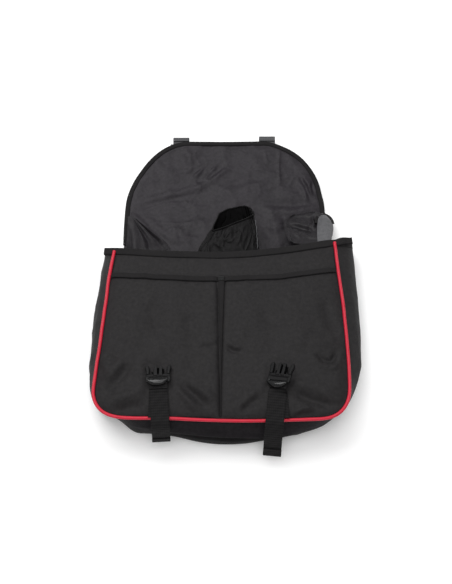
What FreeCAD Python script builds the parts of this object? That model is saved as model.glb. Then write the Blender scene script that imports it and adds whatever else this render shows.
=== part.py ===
import FreeCAD, Part
import os
import math
from FreeCAD import Vector as V

# Soft two-buckle flap bag, lying on its back with the flap opened out flat
# behind it.  Millimetres.  X across the bag, Y from the base towards the tip
# of the flap, Z up from the surface it lies on.  The back panel rests on Z = 0.

# ---------------------------------------------------------------- dimensions
FABRIC = 1.2            # coated outer fabric
LINING = 0.6            # lining taffeta
FOAM = 2.0              # interlining foam
GAP = 0.3               # air between pieces
FRONT_Z = 60.8          # underside of the front panel as the bag lies
PIPE_R = 2.6            # piping radius
PIPE_Z = 65.0           # piping centre height
CORNER_R = 50.0         # bottom corner radius
BASE_Y = -119.0         # bottom seam
RIM_L = (-179.0, 155.0) # front panel, top left
RIM_R = (174.0, 172.0)  # front panel, top right
SEAM_L = (-206.0, BASE_Y)   # bottom corners before rounding
SEAM_R = (197.0, BASE_Y)
BIND = 10.0             # binding height
POCKET_IN = 4.2         # pocket edge inside the piping centre
POCKET_Z = 67.0         # underside of the pocket face
HINGE_Y = 203.0         # flap leaves the back panel
HINGE_Z = 1.0
FOLD_Y = 281.0          # flap turns over the front edge
FOLD_Z = 1.0
EDGE = 1.4              # half gap at a fold line
TILT = 6.0              # flap rises to its tip, degrees
WEB_W = 30.0            # webbing width
WEB_T = 1.5             # webbing thickness
BUCKLE_W = 42.0
TAB_X = (-78.5, 72.0)   # webbing tabs at the tip of the flap
STRAPS = (("left", -98.0, 3.3, [(-6.5, 70.4), (-13.5, 61.0), (-18.0, 46.0), (-22.0, 30.0)]),
          ("right", 76.5, -7.4, [(-6.5, 70.2), (-16.0, 60.5), (-29.0, 41.0), (-42.0, 15.0)]))

os.makedirs("parts", exist_ok=True)


def save(name, shape):
    shape.exportStep("parts/%s.step" % name)
    print("%-26s solids %d  vol %.0f  valid %s" % (name, len(shape.Solids), shape.Volume, shape.isValid()))


def fillet_path(pts, radius, n):
    out = [pts[0]]
    for i in range(1, len(pts) - 1):
        p, a, b = pts[i], pts[i - 1], pts[i + 1]
        ua = (a[0] - p[0], a[1] - p[1]); la = math.hypot(*ua); ua = (ua[0] / la, ua[1] / la)
        ub = (b[0] - p[0], b[1] - p[1]); lb = math.hypot(*ub); ub = (ub[0] / lb, ub[1] / lb)
        half = math.acos(max(-1, min(1, ua[0] * ub[0] + ua[1] * ub[1]))) / 2
        t = radius / math.tan(half)
        bis = (ua[0] + ub[0], ua[1] + ub[1]); bl = math.hypot(*bis)
        c = (p[0] + bis[0] / bl * radius / math.sin(half), p[1] + bis[1] / bl * radius / math.sin(half))
        s = (p[0] + ua[0] * t, p[1] + ua[1] * t); e = (p[0] + ub[0] * t, p[1] + ub[1] * t)
        a0 = math.atan2(s[1] - c[1], s[0] - c[0]); a1 = math.atan2(e[1] - c[1], e[0] - c[0])
        d = a1 - a0
        while d > math.pi: d -= 2 * math.pi
        while d < -math.pi: d += 2 * math.pi
        for k in range(n + 1):
            ang = a0 + d * k / n
            out.append((c[0] + radius * math.cos(ang), c[1] + radius * math.sin(ang)))
    out.append(pts[-1])
    return out


def offset_path(pts, dist):
    # open path run from top left, round the base, to top right; positive = outwards
    out = []
    for i, p in enumerate(pts):
        a = pts[max(i - 1, 0)]; b = pts[min(i + 1, len(pts) - 1)]
        tx, ty = b[0] - a[0], b[1] - a[1]
        l = math.hypot(tx, ty)
        nx, ny = ty / l, -tx / l
        d = dist[i] if isinstance(dist, (list, tuple)) else dist
        out.append((p[0] + nx * d, p[1] + ny * d))
    return out


def prism(pts, z0, z1):
    w = Part.makePolygon([V(x, y, z0) for x, y in pts] + [V(pts[0][0], pts[0][1], z0)])
    return Part.Face(w).extrude(V(0, 0, z1 - z0))


def box(x0, x1, y0, y1, z0, z1):
    return Part.makeBox(x1 - x0, y1 - y0, z1 - z0, V(x0, y0, z0))


def solid_of(faces):
    sh = Part.Shell(faces)
    so = Part.Solid(sh)
    if so.Volume < 0:
        so.reverse()
    return so


def tri(a, b, c):
    return Part.Face(Part.makePolygon([a, b, c, a]))


def quad(fs, a, b, c, d):
    fs.append(tri(a, b, c)); fs.append(tri(a, c, d))


def wall(outer, inner):
    # a sheet of constant grid between two surfaces: rows of points
    fs = []
    r, n = len(outer), len(outer[0])
    for i in range(r - 1):
        for j in range(n - 1):
            quad(fs, outer[i][j], outer[i][j + 1], outer[i + 1][j + 1], outer[i + 1][j])
            quad(fs, inner[i][j], inner[i + 1][j], inner[i + 1][j + 1], inner[i][j + 1])
    for i in range(r - 1):
        quad(fs, outer[i][0], outer[i + 1][0], inner[i + 1][0], inner[i][0])
        quad(fs, outer[i][-1], inner[i][-1], inner[i + 1][-1], outer[i + 1][-1])
    for j in range(n - 1):
        quad(fs, outer[0][j], inner[0][j], inner[0][j + 1], outer[0][j + 1])
        quad(fs, outer[-1][j], outer[-1][j + 1], inner[-1][j + 1], inner[-1][j])
    return solid_of(fs)


def loft(sections):
    # closed planar sections with equal point counts
    fs = []
    n = len(sections[0])
    for s, t in zip(sections[:-1], sections[1:]):
        for j in range(n):
            k = (j + 1) % n
            quad(fs, s[j], s[k], t[k], t[j])
    for s in (sections[0], sections[-1]):
        fs.append(Part.Face(Part.makePolygon(s + [s[0]])))
    return solid_of(fs)


def ribbon(path, thick, x0, x1):
    # flat band that follows a path in the YZ plane, from x0 to x1
    def side(s):
        out = []
        for i, p in enumerate(path):
            a = path[max(i - 1, 0)]; b = path[min(i + 1, len(path) - 1)]
            ta = (p[0] - a[0], p[1] - a[1]) if i else (b[0] - p[0], b[1] - p[1])
            tb = (b[0] - p[0], b[1] - p[1]) if i < len(path) - 1 else ta
            la, lb = math.hypot(*ta), math.hypot(*tb)
            na = (-ta[1] / la, ta[0] / la); nb = (-tb[1] / lb, tb[0] / lb)
            m = (na[0] + nb[0], na[1] + nb[1]); ml = math.hypot(*m)
            m = (m[0] / ml, m[1] / ml)
            k = thick / 2 / max(0.4, m[0] * na[0] + m[1] * na[1])
            out.append((p[0] + m[0] * k * s, p[1] + m[1] * k * s))
        return out
    loop = side(1) + side(-1)[::-1]
    w = Part.makePolygon([V(x0, y, z) for y, z in loop] + [V(x0, loop[0][0], loop[0][1])])
    return Part.Face(w).extrude(V(x1 - x0, 0, 0))


def turn_x(shape, y, z, deg):
    s = shape.copy(); s.rotate(V(0, y, z), V(1, 0, 0), deg); return s


# ---------------------------------------------------------------- seam line
seam = fillet_path([RIM_L, SEAM_L, SEAM_R, RIM_R], CORNER_R, 6)
# add points along the straight runs so that the side walls can bulge
left_run = [RIM_L] + [(RIM_L[0] + (seam[1][0] - RIM_L[0]) * t, RIM_L[1] + (seam[1][1] - RIM_L[1]) * t) for t in (0.25, 0.5, 0.75)]
bottom = [(seam[7][0] + (seam[8][0] - seam[7][0]) * t, BASE_Y) for t in (0.17, 0.34, 0.5, 0.66, 0.83)]
right_run = [(seam[14][0] + (RIM_R[0] - seam[14][0]) * t, seam[14][1] + (RIM_R[1] - seam[14][1]) * t) for t in (0.25, 0.5, 0.75)]
G = left_run + seam[1:8] + bottom + seam[8:15] + right_run + [RIM_R]
N = len(G)
# how far the gusset stands out from the seam at each point of the path
STAND = [10, 9, 8, 7] + [7, 7, 7, 7, 7, 8, 9] + [14, 20, 23, 20, 14] + [5, 3, 4, 8, 13, 16, 17] + [19, 20, 22] + [25]
assert len(STAND) == N
LEVELS = [(1.5, -0.15), (10.0, 0.65), (24.0, 1.0), (40.0, 0.85), (52.0, 0.45), (60.3, 0.0)]


def gusset_rows(i0, i1, extra, thick, lift=0.0):
    rows_o, rows_i = [], []
    for z, f in LEVELS:
        d = [STAND[i] * f - extra for i in range(N)]
        o = offset_path(G, d)
        inn = offset_path(G, [x - thick for x in d])
        ro, ri = [], []
        for i in range(i0, i1 + 1):
            shift = 0.0
            if i == 0: shift = (60.3 - z) * 0.5
            if i == N - 1: shift = (60.3 - z) * 0.28
            ro.append(V(o[i][0], o[i][1] + shift, z)); ri.append(V(inn[i][0], inn[i][1] + shift, z))
        rows_o.append(ro); rows_i.append(ri)
    return rows_o, rows_i


# ---------------------------------------------------------------- bag body
rim = [RIM_R, (110.0, 163.0), (40.0, 156.0), (-12.0, 153.0), (-90.0, 153.0), RIM_L]
inside = offset_path(G, -0.6)
save("front_panel", prism(inside + [(x, y) for x, y in rim[1:-1]], FRONT_Z, FRONT_Z + FABRIC))
lin = offset_path(G, -3.6)
lin_top = [(x, y - 1.0) for x, y in rim[1:-1]]
save("front_interlining", prism(lin + lin_top, FRONT_Z - 0.2 - FOAM, FRONT_Z - 0.2))
save("front_lining", prism(lin + lin_top, FRONT_Z - 0.4 - FOAM - LINING, FRONT_Z - 0.4 - FOAM))

back = offset_path(G, -0.6)[1:-1]
back_out = [(-174.0, 201.6)] + back + [(170.0, 201.6)]
save("back_panel", prism(back_out, 0.0, FABRIC))
bin_ = offset_path(G, -8.0)[1:-1]
save("back_interlining", prism([(-166.0, 186.0)] + bin_ + [(162.0, 186.0)], 1.4, 1.4 + FOAM))
save("back_lining", prism([(-166.0, 198.0)] + bin_ + [(162.0, 198.0)], 3.6, 3.6 + LINING))

iL, iR = 4, N - 5
o, i_ = gusset_rows(0, iL, 0.0, FABRIC); save("side_gusset_left", wall(o, i_))
o, i_ = gusset_rows(iL, iR, 0.0, FABRIC); save("bottom_gusset", wall(o, i_))
o, i_ = gusset_rows(iR, N - 1, 0.0, FABRIC); save("side_gusset_right", wall(o, i_))


def lining_rows():
    rows_o, rows_i = [], []
    for z, f in [(4.6, 0.05), (10.0, 0.65), (24.0, 1.0), (40.0, 0.85), (52.0, 0.45), (57.2, 0.15)]:
        d = [STAND[i] * f - 1.6 - (2.6 if z < 5 or z > 57 else 0) for i in range(N)]
        o = offset_path(G, d); inn = offset_path(G, [x - LINING for x in d])
        ro, ri = [], []
        for i in range(N):
            shift = 0.0
            if i == 0: shift = (60.3 - z) * 0.5
            if i == N - 1: shift = (60.3 - z) * 0.28
            ro.append(V(o[i][0], o[i][1] + shift, z)); ri.append(V(inn[i][0], inn[i][1] + shift, z))
        rows_o.append(ro); rows_i.append(ri)
    return rows_o, rows_i


o, i_ = lining_rows(); save("gusset_lining", wall(o, i_))

# red piping: one round cord along the whole seam of the front face
edges = []
pts = [(-179.0, 153.0), SEAM_L, SEAM_R, (173.8, 170.0)]
path = fillet_path(pts, CORNER_R, 2)
p3 = [V(x, y, PIPE_Z) for x, y in path]
e = [Part.LineSegment(p3[0], p3[1]).toShape(), Part.Arc(p3[1], p3[2], p3[3]).toShape(),
     Part.LineSegment(p3[3], p3[4]).toShape(), Part.Arc(p3[4], p3[5], p3[6]).toShape(),
     Part.LineSegment(p3[6], p3[7]).toShape()]
wire = Part.Wire(e)
d0 = p3[1].sub(p3[0])
prof = Part.Wire([Part.makeCircle(PIPE_R, p3[0], d0)])
save("piping", wire.makePipeShell([prof], True, True))

# mouth bindings
secs = []
rim_b = [(-190.0, 156.6), (-179.0, 156.2), (-90.0, 153.4), (-12.0, 153.4), (40.0, 156.4), (110.0, 163.4), (174.0, 173.0), (198.5, 175.6)]
for x, y in rim_b:
    secs.append([V(x, y, 58.4), V(x, y + BIND, 58.4), V(x, y + BIND, 63.4), V(x, y, 63.4)])
save("mouth_binding_front", loft(secs))


def side_binding(i, k):
    s = []
    for z, f in [(58.2, 0.05), (52.0, 0.45), (40.0, 0.85), (24.0, 1.0), (10.0, 0.65), (4.5, 0.3)]:
        d = STAND[i] * f
        pt = offset_path(G, [d] * N)[i]
        y = pt[1] + (60.3 - z) * k + 0.3
        sx = -1 if i == 0 else 1
        xo, xi = pt[0] + sx * 0.9, pt[0] - sx * 2.1
        s.append([V(xo, y, z), V(xo, y + BIND - 1, z), V(xi, y + BIND - 1, z), V(xi, y, z)])
    return loft(s)


save("mouth_binding_left", side_binding(0, 0.5))
save("mouth_binding_right", side_binding(N - 1, 0.28))

# ---------------------------------------------------------------- pockets
pk = offset_path(G, -POCKET_IN)
pk_in = offset_path(G, -POCKET_IN - 1.2)
SPLIT_L, SPLIT_R = -14.0, -2.5


def cut_y(path, y):
    # where the first run of the path crosses height y
    for a, b in zip(path[:-1], path[1:]):
        if (a[1] - y) * (b[1] - y) <= 0 and a[1] != b[1]:
            t = (y - a[1]) / (b[1] - a[1])
            return (a[0] + (b[0] - a[0]) * t, y)


def half(path, side, ytop_out, ytop_mid, xm, lower):
    pts_ = [p for p in path if (p[0] < xm if side < 0 else p[0] > xm) and p[1] < ytop_out - 1]
    if side < 0:
        return [cut_y(path, ytop_out)] + pts_ + [(xm, lower), (xm, ytop_mid)]
    rev = path[::-1]
    return [cut_y(rev, ytop_out)] + pts_[::-1] + [(xm, lower), (xm, ytop_mid)]


low_o, low_i = BASE_Y + POCKET_IN, BASE_Y + POCKET_IN + 1.2
for name, side, y_out, y_mid, xm in (("left", -1, 108.5, 103.0, SPLIT_L), ("right", 1, 117.5, 103.5, SPLIT_R)):
    outer = prism(half(pk, side, y_out, y_mid, xm, low_o), 62.4, POCKET_Z + FABRIC)
    inner = prism(half(pk_in, side, y_out + 6, y_mid + 6, xm + side * 1.2, low_i), 62.0, POCKET_Z)
    save("%s_pocket" % name, outer.cut(inner))
    xo = cut_y(pk if side < 0 else pk[::-1], y_out)[0]
    xa, ya, xb, yb = xm, y_mid, xo, y_out
    if side < 0: xa, ya, xb, yb = xo, y_out, xm, y_mid
    s = []
    for t in (0.0, 0.5, 1.0):
        x = xa + (xb - xa) * t; y = ya + (yb - ya) * t + 0.2
        s.append([V(x, y, 67.0), V(x, y + 9.0, 67.0), V(x, y + 9.0, 69.2), V(x, y, 69.2)])
    save("%s_pocket_hem" % name, loft(s))
save("pocket_divider", prism([(-10.6, -114.0), (-7.2, -114.0), (-3.2, 103.0), (-13.2, 103.0)], 62.3, 66.2))
save("divider_bartack", Part.makeCompound([box(-12.2, -4.2, 99.0, 100.6, 66.4, 67.6), box(-12.2, -4.2, 102.0, 103.6, 66.4, 67.6)]))

# ---------------------------------------------------------------- flap
SP0, SP1 = HINGE_Y + EDGE, FOLD_Y - EDGE
save("flap_spine_outer", prism([(-170.5, SP0), (167.0, SP0), (165.5, SP1), (-169.4, SP1)], 0.0, FABRIC))
save("flap_spine_lining", prism([(-164.5, SP0), (161.0, SP0), (159.5, SP1), (-163.4, SP1)], 1.5, 1.5 + LINING))
bl = prism([(-171.0, SP0), (-165.0, SP0), (-163.9, SP1 - 2), (-169.9, SP1 - 2)], 1.4, 2.9)
br = prism([(161.5, SP0), (167.5, SP0), (166.0, SP1 - 2), (160.0, SP1 - 2)], 1.4, 2.9)
save("flap_spine_binding", Part.makeCompound([bl, br]))
PN0 = FOLD_Y + EDGE
outline = [(-169.2, PN0), (-165.5, 304.5), (-157.6, 329.0), (-146.0, 352.0), (-132.0, 371.5), (-115.0, 387.5), (-95.0, 399.5), (-80.0, 403.0), (-64.0, 404.0),
           (61.0, 404.0), (74.0, 403.0), (87.0, 399.8), (104.0, 392.3), (120.5, 382.0), (136.0, 365.5), (149.0, 344.5), (157.5, 323.0), (162.0, 300.5), (165.0, PN0)]


ring_out = outline
ring_in = [(outline[0][0] + 6.0, PN0)] + offset_path(outline, 6.0)[1:-1] + [(outline[-1][0] - 6.0, PN0)]
# the outline runs from the left fold corner round the tip to the right fold corner
panel_outer = prism(ring_out, 0.0, FABRIC)
lining_in = [(outline[0][0] + 6.4, PN0)] + offset_path(ring_in, 0.4)[1:-1] + [(outline[-1][0] - 6.4, PN0)]
panel_lining = prism(lining_in, 1.5, 1.5 + LINING)
panel_bind = prism(ring_out, 1.4, 2.9).cut(prism([(x, y - (2.0 if k in (0, len(ring_in) - 1) else 0)) for k, (x, y) in enumerate(ring_in)], 1.0, 3.4))
save("flap_outer", turn_x(panel_outer, FOLD_Y, FOLD_Z, TILT))
save("flap_lining", turn_x(panel_lining, FOLD_Y, FOLD_Z, TILT))
save("flap_binding", turn_x(panel_bind, FOLD_Y, FOLD_Z, TILT))

# webbing tabs and socket halves of the buckles
AXIS_Y, AXIS_Z = 413.3, 12.7
for name, x in zip(("left", "right"), TAB_X):
    tab = box(x - WEB_W / 2 + 1, x + WEB_W / 2 - 1, 378.0, 412.0, -0.3 - WEB_T, -0.3)
    save("%s_tab" % name, turn_x(tab, FOLD_Y, FOLD_Z, TILT))
    y0, y1 = 369.0, 404.0
    z0, z1 = 0.3, 7.9
    h = BUCKLE_W / 2 + 0.5
    body = prism([(x - h + 3, y0), (x + h - 3, y0), (x + h, y0 + 4), (x + h, y0 + 23), (x + h - 2.5, y0 + 27), (x + h - 2.5, y1 - 2), (x + h - 5, y1),
                  (x - h + 5, y1), (x - h + 2.5, y1 - 2), (x - h + 2.5, y0 + 27), (x - h, y0 + 23), (x - h, y0 + 4)], z0, z1)
    body = body.cut(box(x - h + 2.2, x + h - 2.2, y0 - 1, y0 + 23.0, z0 + 1.4, z1 - 1.4))
    body = body.cut(box(x - h - 1, x - h + 6.0, y0 + 7.0, y0 + 18.0, z0 - 1, z1 + 1))
    body = body.cut(box(x + h - 6.0, x + h + 1, y0 + 7.0, y0 + 18.0, z0 - 1, z1 + 1))
    body = body.cut(box(x - 16.2, x + 16.2, y0 + 26.5, y1 - 3.5, z0 - 1, z1 + 1))
    save("%s_buckle_socket" % name, body)
    lp = [(404.3, 4.1), (409.3, 4.1), (411.8, 5.6), (412.9, 8.0), (413.2, 11.3)]
    save("%s_socket_webbing" % name, ribbon(lp, WEB_T, x - WEB_W / 2 + 1, x + WEB_W / 2 - 1))

# ---------------------------------------------------------------- straps
def place(shape, xc, deg):
    s = shape.copy()
    s.translate(V(xc, -118.0, 0))
    s.rotate(V(xc, -118.0, 0), V(0, 0, 1), deg)
    return s


W = WEB_W / 2
for name, xc, deg, drop in STRAPS:
    # anchored length: along the pocket, up through the slot, round the bar and back out under the lip
    under = [(2.6, 69.5), (51.5, 69.5), (56.6, 71.8), (57.8, 75.0), (56.4, 78.0), (53.6, 78.9), (51.3, 77.4), (50.4, 74.8), (49.7, 72.7), (47.6, 71.8), (44.8, 71.8)]
    save("%s_strap" % name, place(ribbon(under, WEB_T, -W, W), xc, deg))
    # plug half: rounded lip, web slot with its bar, two guide rails
    h = BUCKLE_W / 2
    fr = prism([(-h + 6, 44.3), (h - 6, 44.3), (h - 1, 47.5), (h, 51), (h, 61), (h - 1.5, 64.0), (-h + 1.5, 64.0), (-h, 61), (-h, 51), (-h + 1, 47.5)], 73.2, 80.6)
    fr = fr.cut(box(-16.2, 16.2, 48.8, 61.0, 72.0, 82.0))
    bar = Part.makeCylinder(1.7, 33.0, V(-16.5, 53.9, 75.0), V(1, 0, 0))
    r1 = box(-6.4, -3.2, 63.8, 84.0, 74.8, 79.2)
    r2 = box(3.2, 6.4, 63.8, 84.0, 74.8, 79.2)
    r3 = box(-6.4, 6.4, 69.0, 72.0, 75.8, 78.2)
    body = fr.fuse([bar, r1, r2, r3]).removeSplitter()
    save("%s_buckle_plug" % name, place(body, xc, deg))
    for s, tag in ((-1, "outer" if name == "left" else "inner"), (1, "inner" if name == "left" else "outer")):
        prof_ = [(s * 15.4, 65.2), (s * 20.2, 65.2), (s * 19.6, 71), (s * 21.4, 76.5), (s * 21.4, 81), (s * 19.3, 85.5), (s * 17.0, 85.5), (s * 16.4, 77), (s * 15.6, 71)]
        if s < 0: prof_ = prof_[::-1]
        save("%s_arm_%s" % (name, tag), place(prism(prof_, 74.8, 79.2), xc, deg))
    tail = [(43.2, 72.0), (30.0, 72.0), (3.0, 72.0)] + drop
    save("%s_strap_tail" % name, place(ribbon(tail, WEB_T, -W, W), xc, deg))

# ---------------------------------------------------------------- inner pouch
def ring(xc, y, zc, hx, hz, sag):
    out = []
    for k in range(10):
        a = 2 * math.pi * k / 10 + math.pi / 10
        out.append(V(xc + hx * math.cos(a), y + sag * math.sin(a), zc + hz * math.sin(a)))
    return out


stations = [(5.0, 112.0, 31.0, 52.0, 15.0, 0.0), (7.0, 165.0, 38.0, 50.0, 15.0, 0.0), (11.0, 205.0, 44.0, 40.0, 13.0, 0.0), (14.0, 240.0, 48.0, 31.0, 11.0, 0.0)]
o_ = loft([ring(*s) for s in stations])
c_ = loft([ring(s[0], s[1] + (1.2 if k == 0 else 0.5 if k == 3 else 0), s[2], s[3] - 1.2, s[4] - 1.2, 0.0) for k, s in enumerate(stations)])
save("inner_pouch", o_.cut(c_))
e1 = loft([ring(14.0, 240.2, 48.0, 31.4, 11.4, 0.0), ring(14.2, 246.0, 48.4, 30.0, 11.0, 0.0)])
e0 = loft([ring(14.0, 239.5, 48.0, 28.4, 8.4, 0.0), ring(14.2, 247.0, 48.4, 27.4, 8.0, 0.0)])
save("pouch_elastic", e1.cut(e0))

# ears: lining tongues at the two ends of the mouth
save("left_ear", prism([(-168.0, 210.5), (-168.0, 256.0), (-152.0, 241.0), (-128.0, 212.0), (-116.0, 204.0), (-116.0, 199.0), (-160.0, 199.0)], 4.4, 6.0))
save("right_ear", prism([(108.0, 200.0), (106.0, 222.0), (126.0, 240.0), (154.0, 254.0), (168.0, 247.0), (174.0, 229.0), (170.0, 206.0), (158.0, 200.0)], 4.4, 6.0))
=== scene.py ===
import bpy
import bmesh
import math
import numpy as np
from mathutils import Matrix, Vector


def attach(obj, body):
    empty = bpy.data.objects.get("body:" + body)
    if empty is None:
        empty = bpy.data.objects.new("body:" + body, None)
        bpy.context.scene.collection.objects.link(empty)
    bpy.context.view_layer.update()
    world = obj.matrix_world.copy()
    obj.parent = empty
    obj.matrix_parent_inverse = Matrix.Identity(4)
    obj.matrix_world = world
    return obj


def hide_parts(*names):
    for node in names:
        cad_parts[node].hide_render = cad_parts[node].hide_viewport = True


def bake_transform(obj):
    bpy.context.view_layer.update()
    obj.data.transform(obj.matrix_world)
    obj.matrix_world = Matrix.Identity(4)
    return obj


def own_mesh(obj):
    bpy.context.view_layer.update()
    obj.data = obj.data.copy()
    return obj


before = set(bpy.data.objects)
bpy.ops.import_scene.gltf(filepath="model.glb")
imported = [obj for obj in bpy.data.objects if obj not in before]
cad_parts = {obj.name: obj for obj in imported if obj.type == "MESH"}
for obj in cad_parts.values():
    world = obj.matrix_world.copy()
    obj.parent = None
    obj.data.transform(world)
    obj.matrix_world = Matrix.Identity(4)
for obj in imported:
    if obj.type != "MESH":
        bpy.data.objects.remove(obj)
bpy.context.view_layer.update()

MM = 0.001
SC = bpy.context.scene

# =====================================================================
# Small tools.  Lengths are in millimetres until a mesh is made.
# =====================================================================


def sm(a, b, x):
    t = np.clip((np.asarray(x, float) - a) / (b - a), 0.0, 1.0)
    return t * t * (3 - 2 * t)


def bump(x, c, w):
    return np.exp(-((np.asarray(x, float) - c) / w) ** 2)


def vnoise(x, y, seed=0):
    x = np.asarray(x, float); y = np.asarray(y, float)
    xi = np.floor(x).astype(np.int64); yi = np.floor(y).astype(np.int64)
    xf = x - xi; yf = y - yi
    u = xf * xf * xf * (xf * (xf * 6 - 15) + 10); v = yf * yf * yf * (yf * (yf * 6 - 15) + 10)

    def h(i, j):
        n = (i * 374761393 + j * 668265263 + seed * 144269504) & 0xFFFFFFFF
        n = ((n ^ (n >> 13)) * 1274126177) & 0xFFFFFFFF
        return (((n ^ (n >> 16)) & 0xFFFF) / 65535.0) * 2 - 1
    return (h(xi, yi) * (1 - u) + h(xi + 1, yi) * u) * (1 - v) + (h(xi, yi + 1) * (1 - u) + h(xi + 1, yi + 1) * u) * v


def fbm(x, y, seed=0, n=4):
    s = 0.0; a = 1.0; t = 0.0
    for k in range(n):
        s = s + a * vnoise(x * 2 ** k + 13.7 * k, y * 2 ** k - 7.1 * k, seed + k); t += a; a *= 0.5
    return s / t


def folds(x, y, seed=0, sharp=2.2):
    # sharp little ridges like those in thin crushed cloth, 0 to 1
    wx = x + 0.6 * fbm(x * 0.7, y * 0.7, seed + 40, 2); wy = y + 0.6 * fbm(x * 0.7 + 5, y * 0.7 + 9, seed + 50, 2)
    r = 1 - np.abs(vnoise(wx, wy, seed)) * 1.15
    return np.clip(r, 0, 1) ** sharp


def crease(X, Y, pts, width, height, tail=0.3):
    # a fold along a line of points: ridge if height > 0, dent if < 0
    P = np.array(pts, float)
    seg = P[1:] - P[:-1]; L = np.linalg.norm(seg, axis=1); cum = np.concatenate([[0], np.cumsum(L)]); tot = cum[-1]
    best = np.full(np.shape(X), 1e9); where = np.zeros(np.shape(X))
    for k in range(len(seg)):
        dx = X - P[k, 0]; dy = Y - P[k, 1]
        t = np.clip((dx * seg[k, 0] + dy * seg[k, 1]) / (L[k] ** 2), 0, 1)
        d = np.hypot(dx - t * seg[k, 0], dy - t * seg[k, 1])
        m = d < best
        best = np.where(m, d, best); where = np.where(m, (cum[k] + t * L[k]) / tot, where)
    ends = sm(0, tail, where) * sm(0, tail, 1 - where) if tail > 0 else 1.0
    return height * np.exp(-(best / width) ** 2) * (0.15 + 0.85 * ends)


def new_mesh(name, verts, faces, uvs=None, smooth=True):
    me = bpy.data.meshes.new(name)
    me.from_pydata([tuple(float(c) * MM for c in v) for v in verts], [], faces)
    me.update()
    if uvs is not None:
        lay = me.uv_layers.new(name="UVMap")
        flat = np.zeros(len(me.loops) * 2)
        vi = np.zeros(len(me.loops), int); me.loops.foreach_get("vertex_index", vi)
        U = np.asarray(uvs, float)[vi] * 0.01
        flat[0::2] = U[:, 0]; flat[1::2] = U[:, 1]
        lay.data.foreach_set("uv", flat)
    if smooth:
        me.polygons.foreach_set("use_smooth", [True] * len(me.polygons))
    ob = bpy.data.objects.new(name, me)
    SC.collection.objects.link(ob)
    return ob


def grid(name, P, uv=None, thick=0.0, flip=False, wrap=False, sharp=40):
    """P is rows x columns x 3.  A sheet, with its thickness added below the surface."""
    P = np.asarray(P, float); r, c = P.shape[:2]
    if uv is None:
        du = np.concatenate([np.zeros((r, 1)), np.cumsum(np.linalg.norm(np.diff(P, axis=1), axis=2), axis=1)], axis=1)
        du = du - du[:, c // 2][:, None]
        dv = np.concatenate([np.zeros((1, c)), np.cumsum(np.linalg.norm(np.diff(P, axis=0), axis=2), axis=0)], axis=0)
        uv = np.stack([du, np.repeat(dv.mean(axis=1)[:, None], c, axis=1)], axis=2)
    faces = []
    cc = c if wrap else c - 1
    for i in range(r - 1):
        for j in range(cc):
            a, b, d, e = i * c + j, i * c + (j + 1) % c, (i + 1) * c + (j + 1) % c, (i + 1) * c + j
            faces.append((a, e, d, b) if flip else (a, b, d, e))
    ob = new_mesh(name, P.reshape(-1, 3), faces, np.asarray(uv).reshape(-1, 2))
    if thick:
        m = ob.modifiers.new("thick", "SOLIDIFY"); m.thickness = thick * MM; m.offset = -1; m.use_even_offset = False
    return settle(ob, sharp)


def settle(ob, sharp=40):
    """Puts the modifiers into the mesh and marks sharp edges."""
    dg = bpy.context.evaluated_depsgraph_get()
    dg.update()
    me = bpy.data.meshes.new_from_object(ob.evaluated_get(dg), preserve_all_data_layers=True, depsgraph=dg)
    old = ob.data
    ob.modifiers.clear()
    ob.data = me
    me.name = ob.name
    bpy.data.meshes.remove(old)
    me.polygons.foreach_set("use_smooth", [True] * len(me.polygons))
    if sharp:
        me.set_sharp_from_angle(angle=math.radians(sharp))
    return ob


def spline(pts, n):
    """Smooth curve through points (Catmull-Rom), n samples, evenly spaced."""
    P = np.array(pts, float)
    Q = np.vstack([2 * P[0] - P[1], P, 2 * P[-1] - P[-2]])
    out = []
    for k in range(1, len(Q) - 2):
        p0, p1, p2, p3 = Q[k - 1], Q[k], Q[k + 1], Q[k + 2]
        for t in np.linspace(0, 1, 24, endpoint=False):
            out.append(0.5 * (2 * p1 + (p2 - p0) * t + (2 * p0 - 5 * p1 + 4 * p2 - p3) * t * t + (3 * p1 - p0 - 3 * p2 + p3) * t ** 3))
    out.append(P[-1]); out = np.array(out)
    return resample(out, n)


def resample(P, n):
    P = np.asarray(P, float)
    s = np.concatenate([[0], np.cumsum(np.linalg.norm(np.diff(P, axis=0), axis=1))])
    t = np.linspace(0, s[-1], n)
    return np.stack([np.interp(t, s, P[:, k]) for k in range(P.shape[1])], axis=1)


def frames(path, up):
    T = np.gradient(path, axis=0); T /= np.linalg.norm(T, axis=1)[:, None]
    N = np.array(up, float) * np.ones_like(path)
    N = N - (N * T).sum(1)[:, None] * T; N /= np.linalg.norm(N, axis=1)[:, None]
    B = np.cross(T, N)
    return T, N, B


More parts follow.
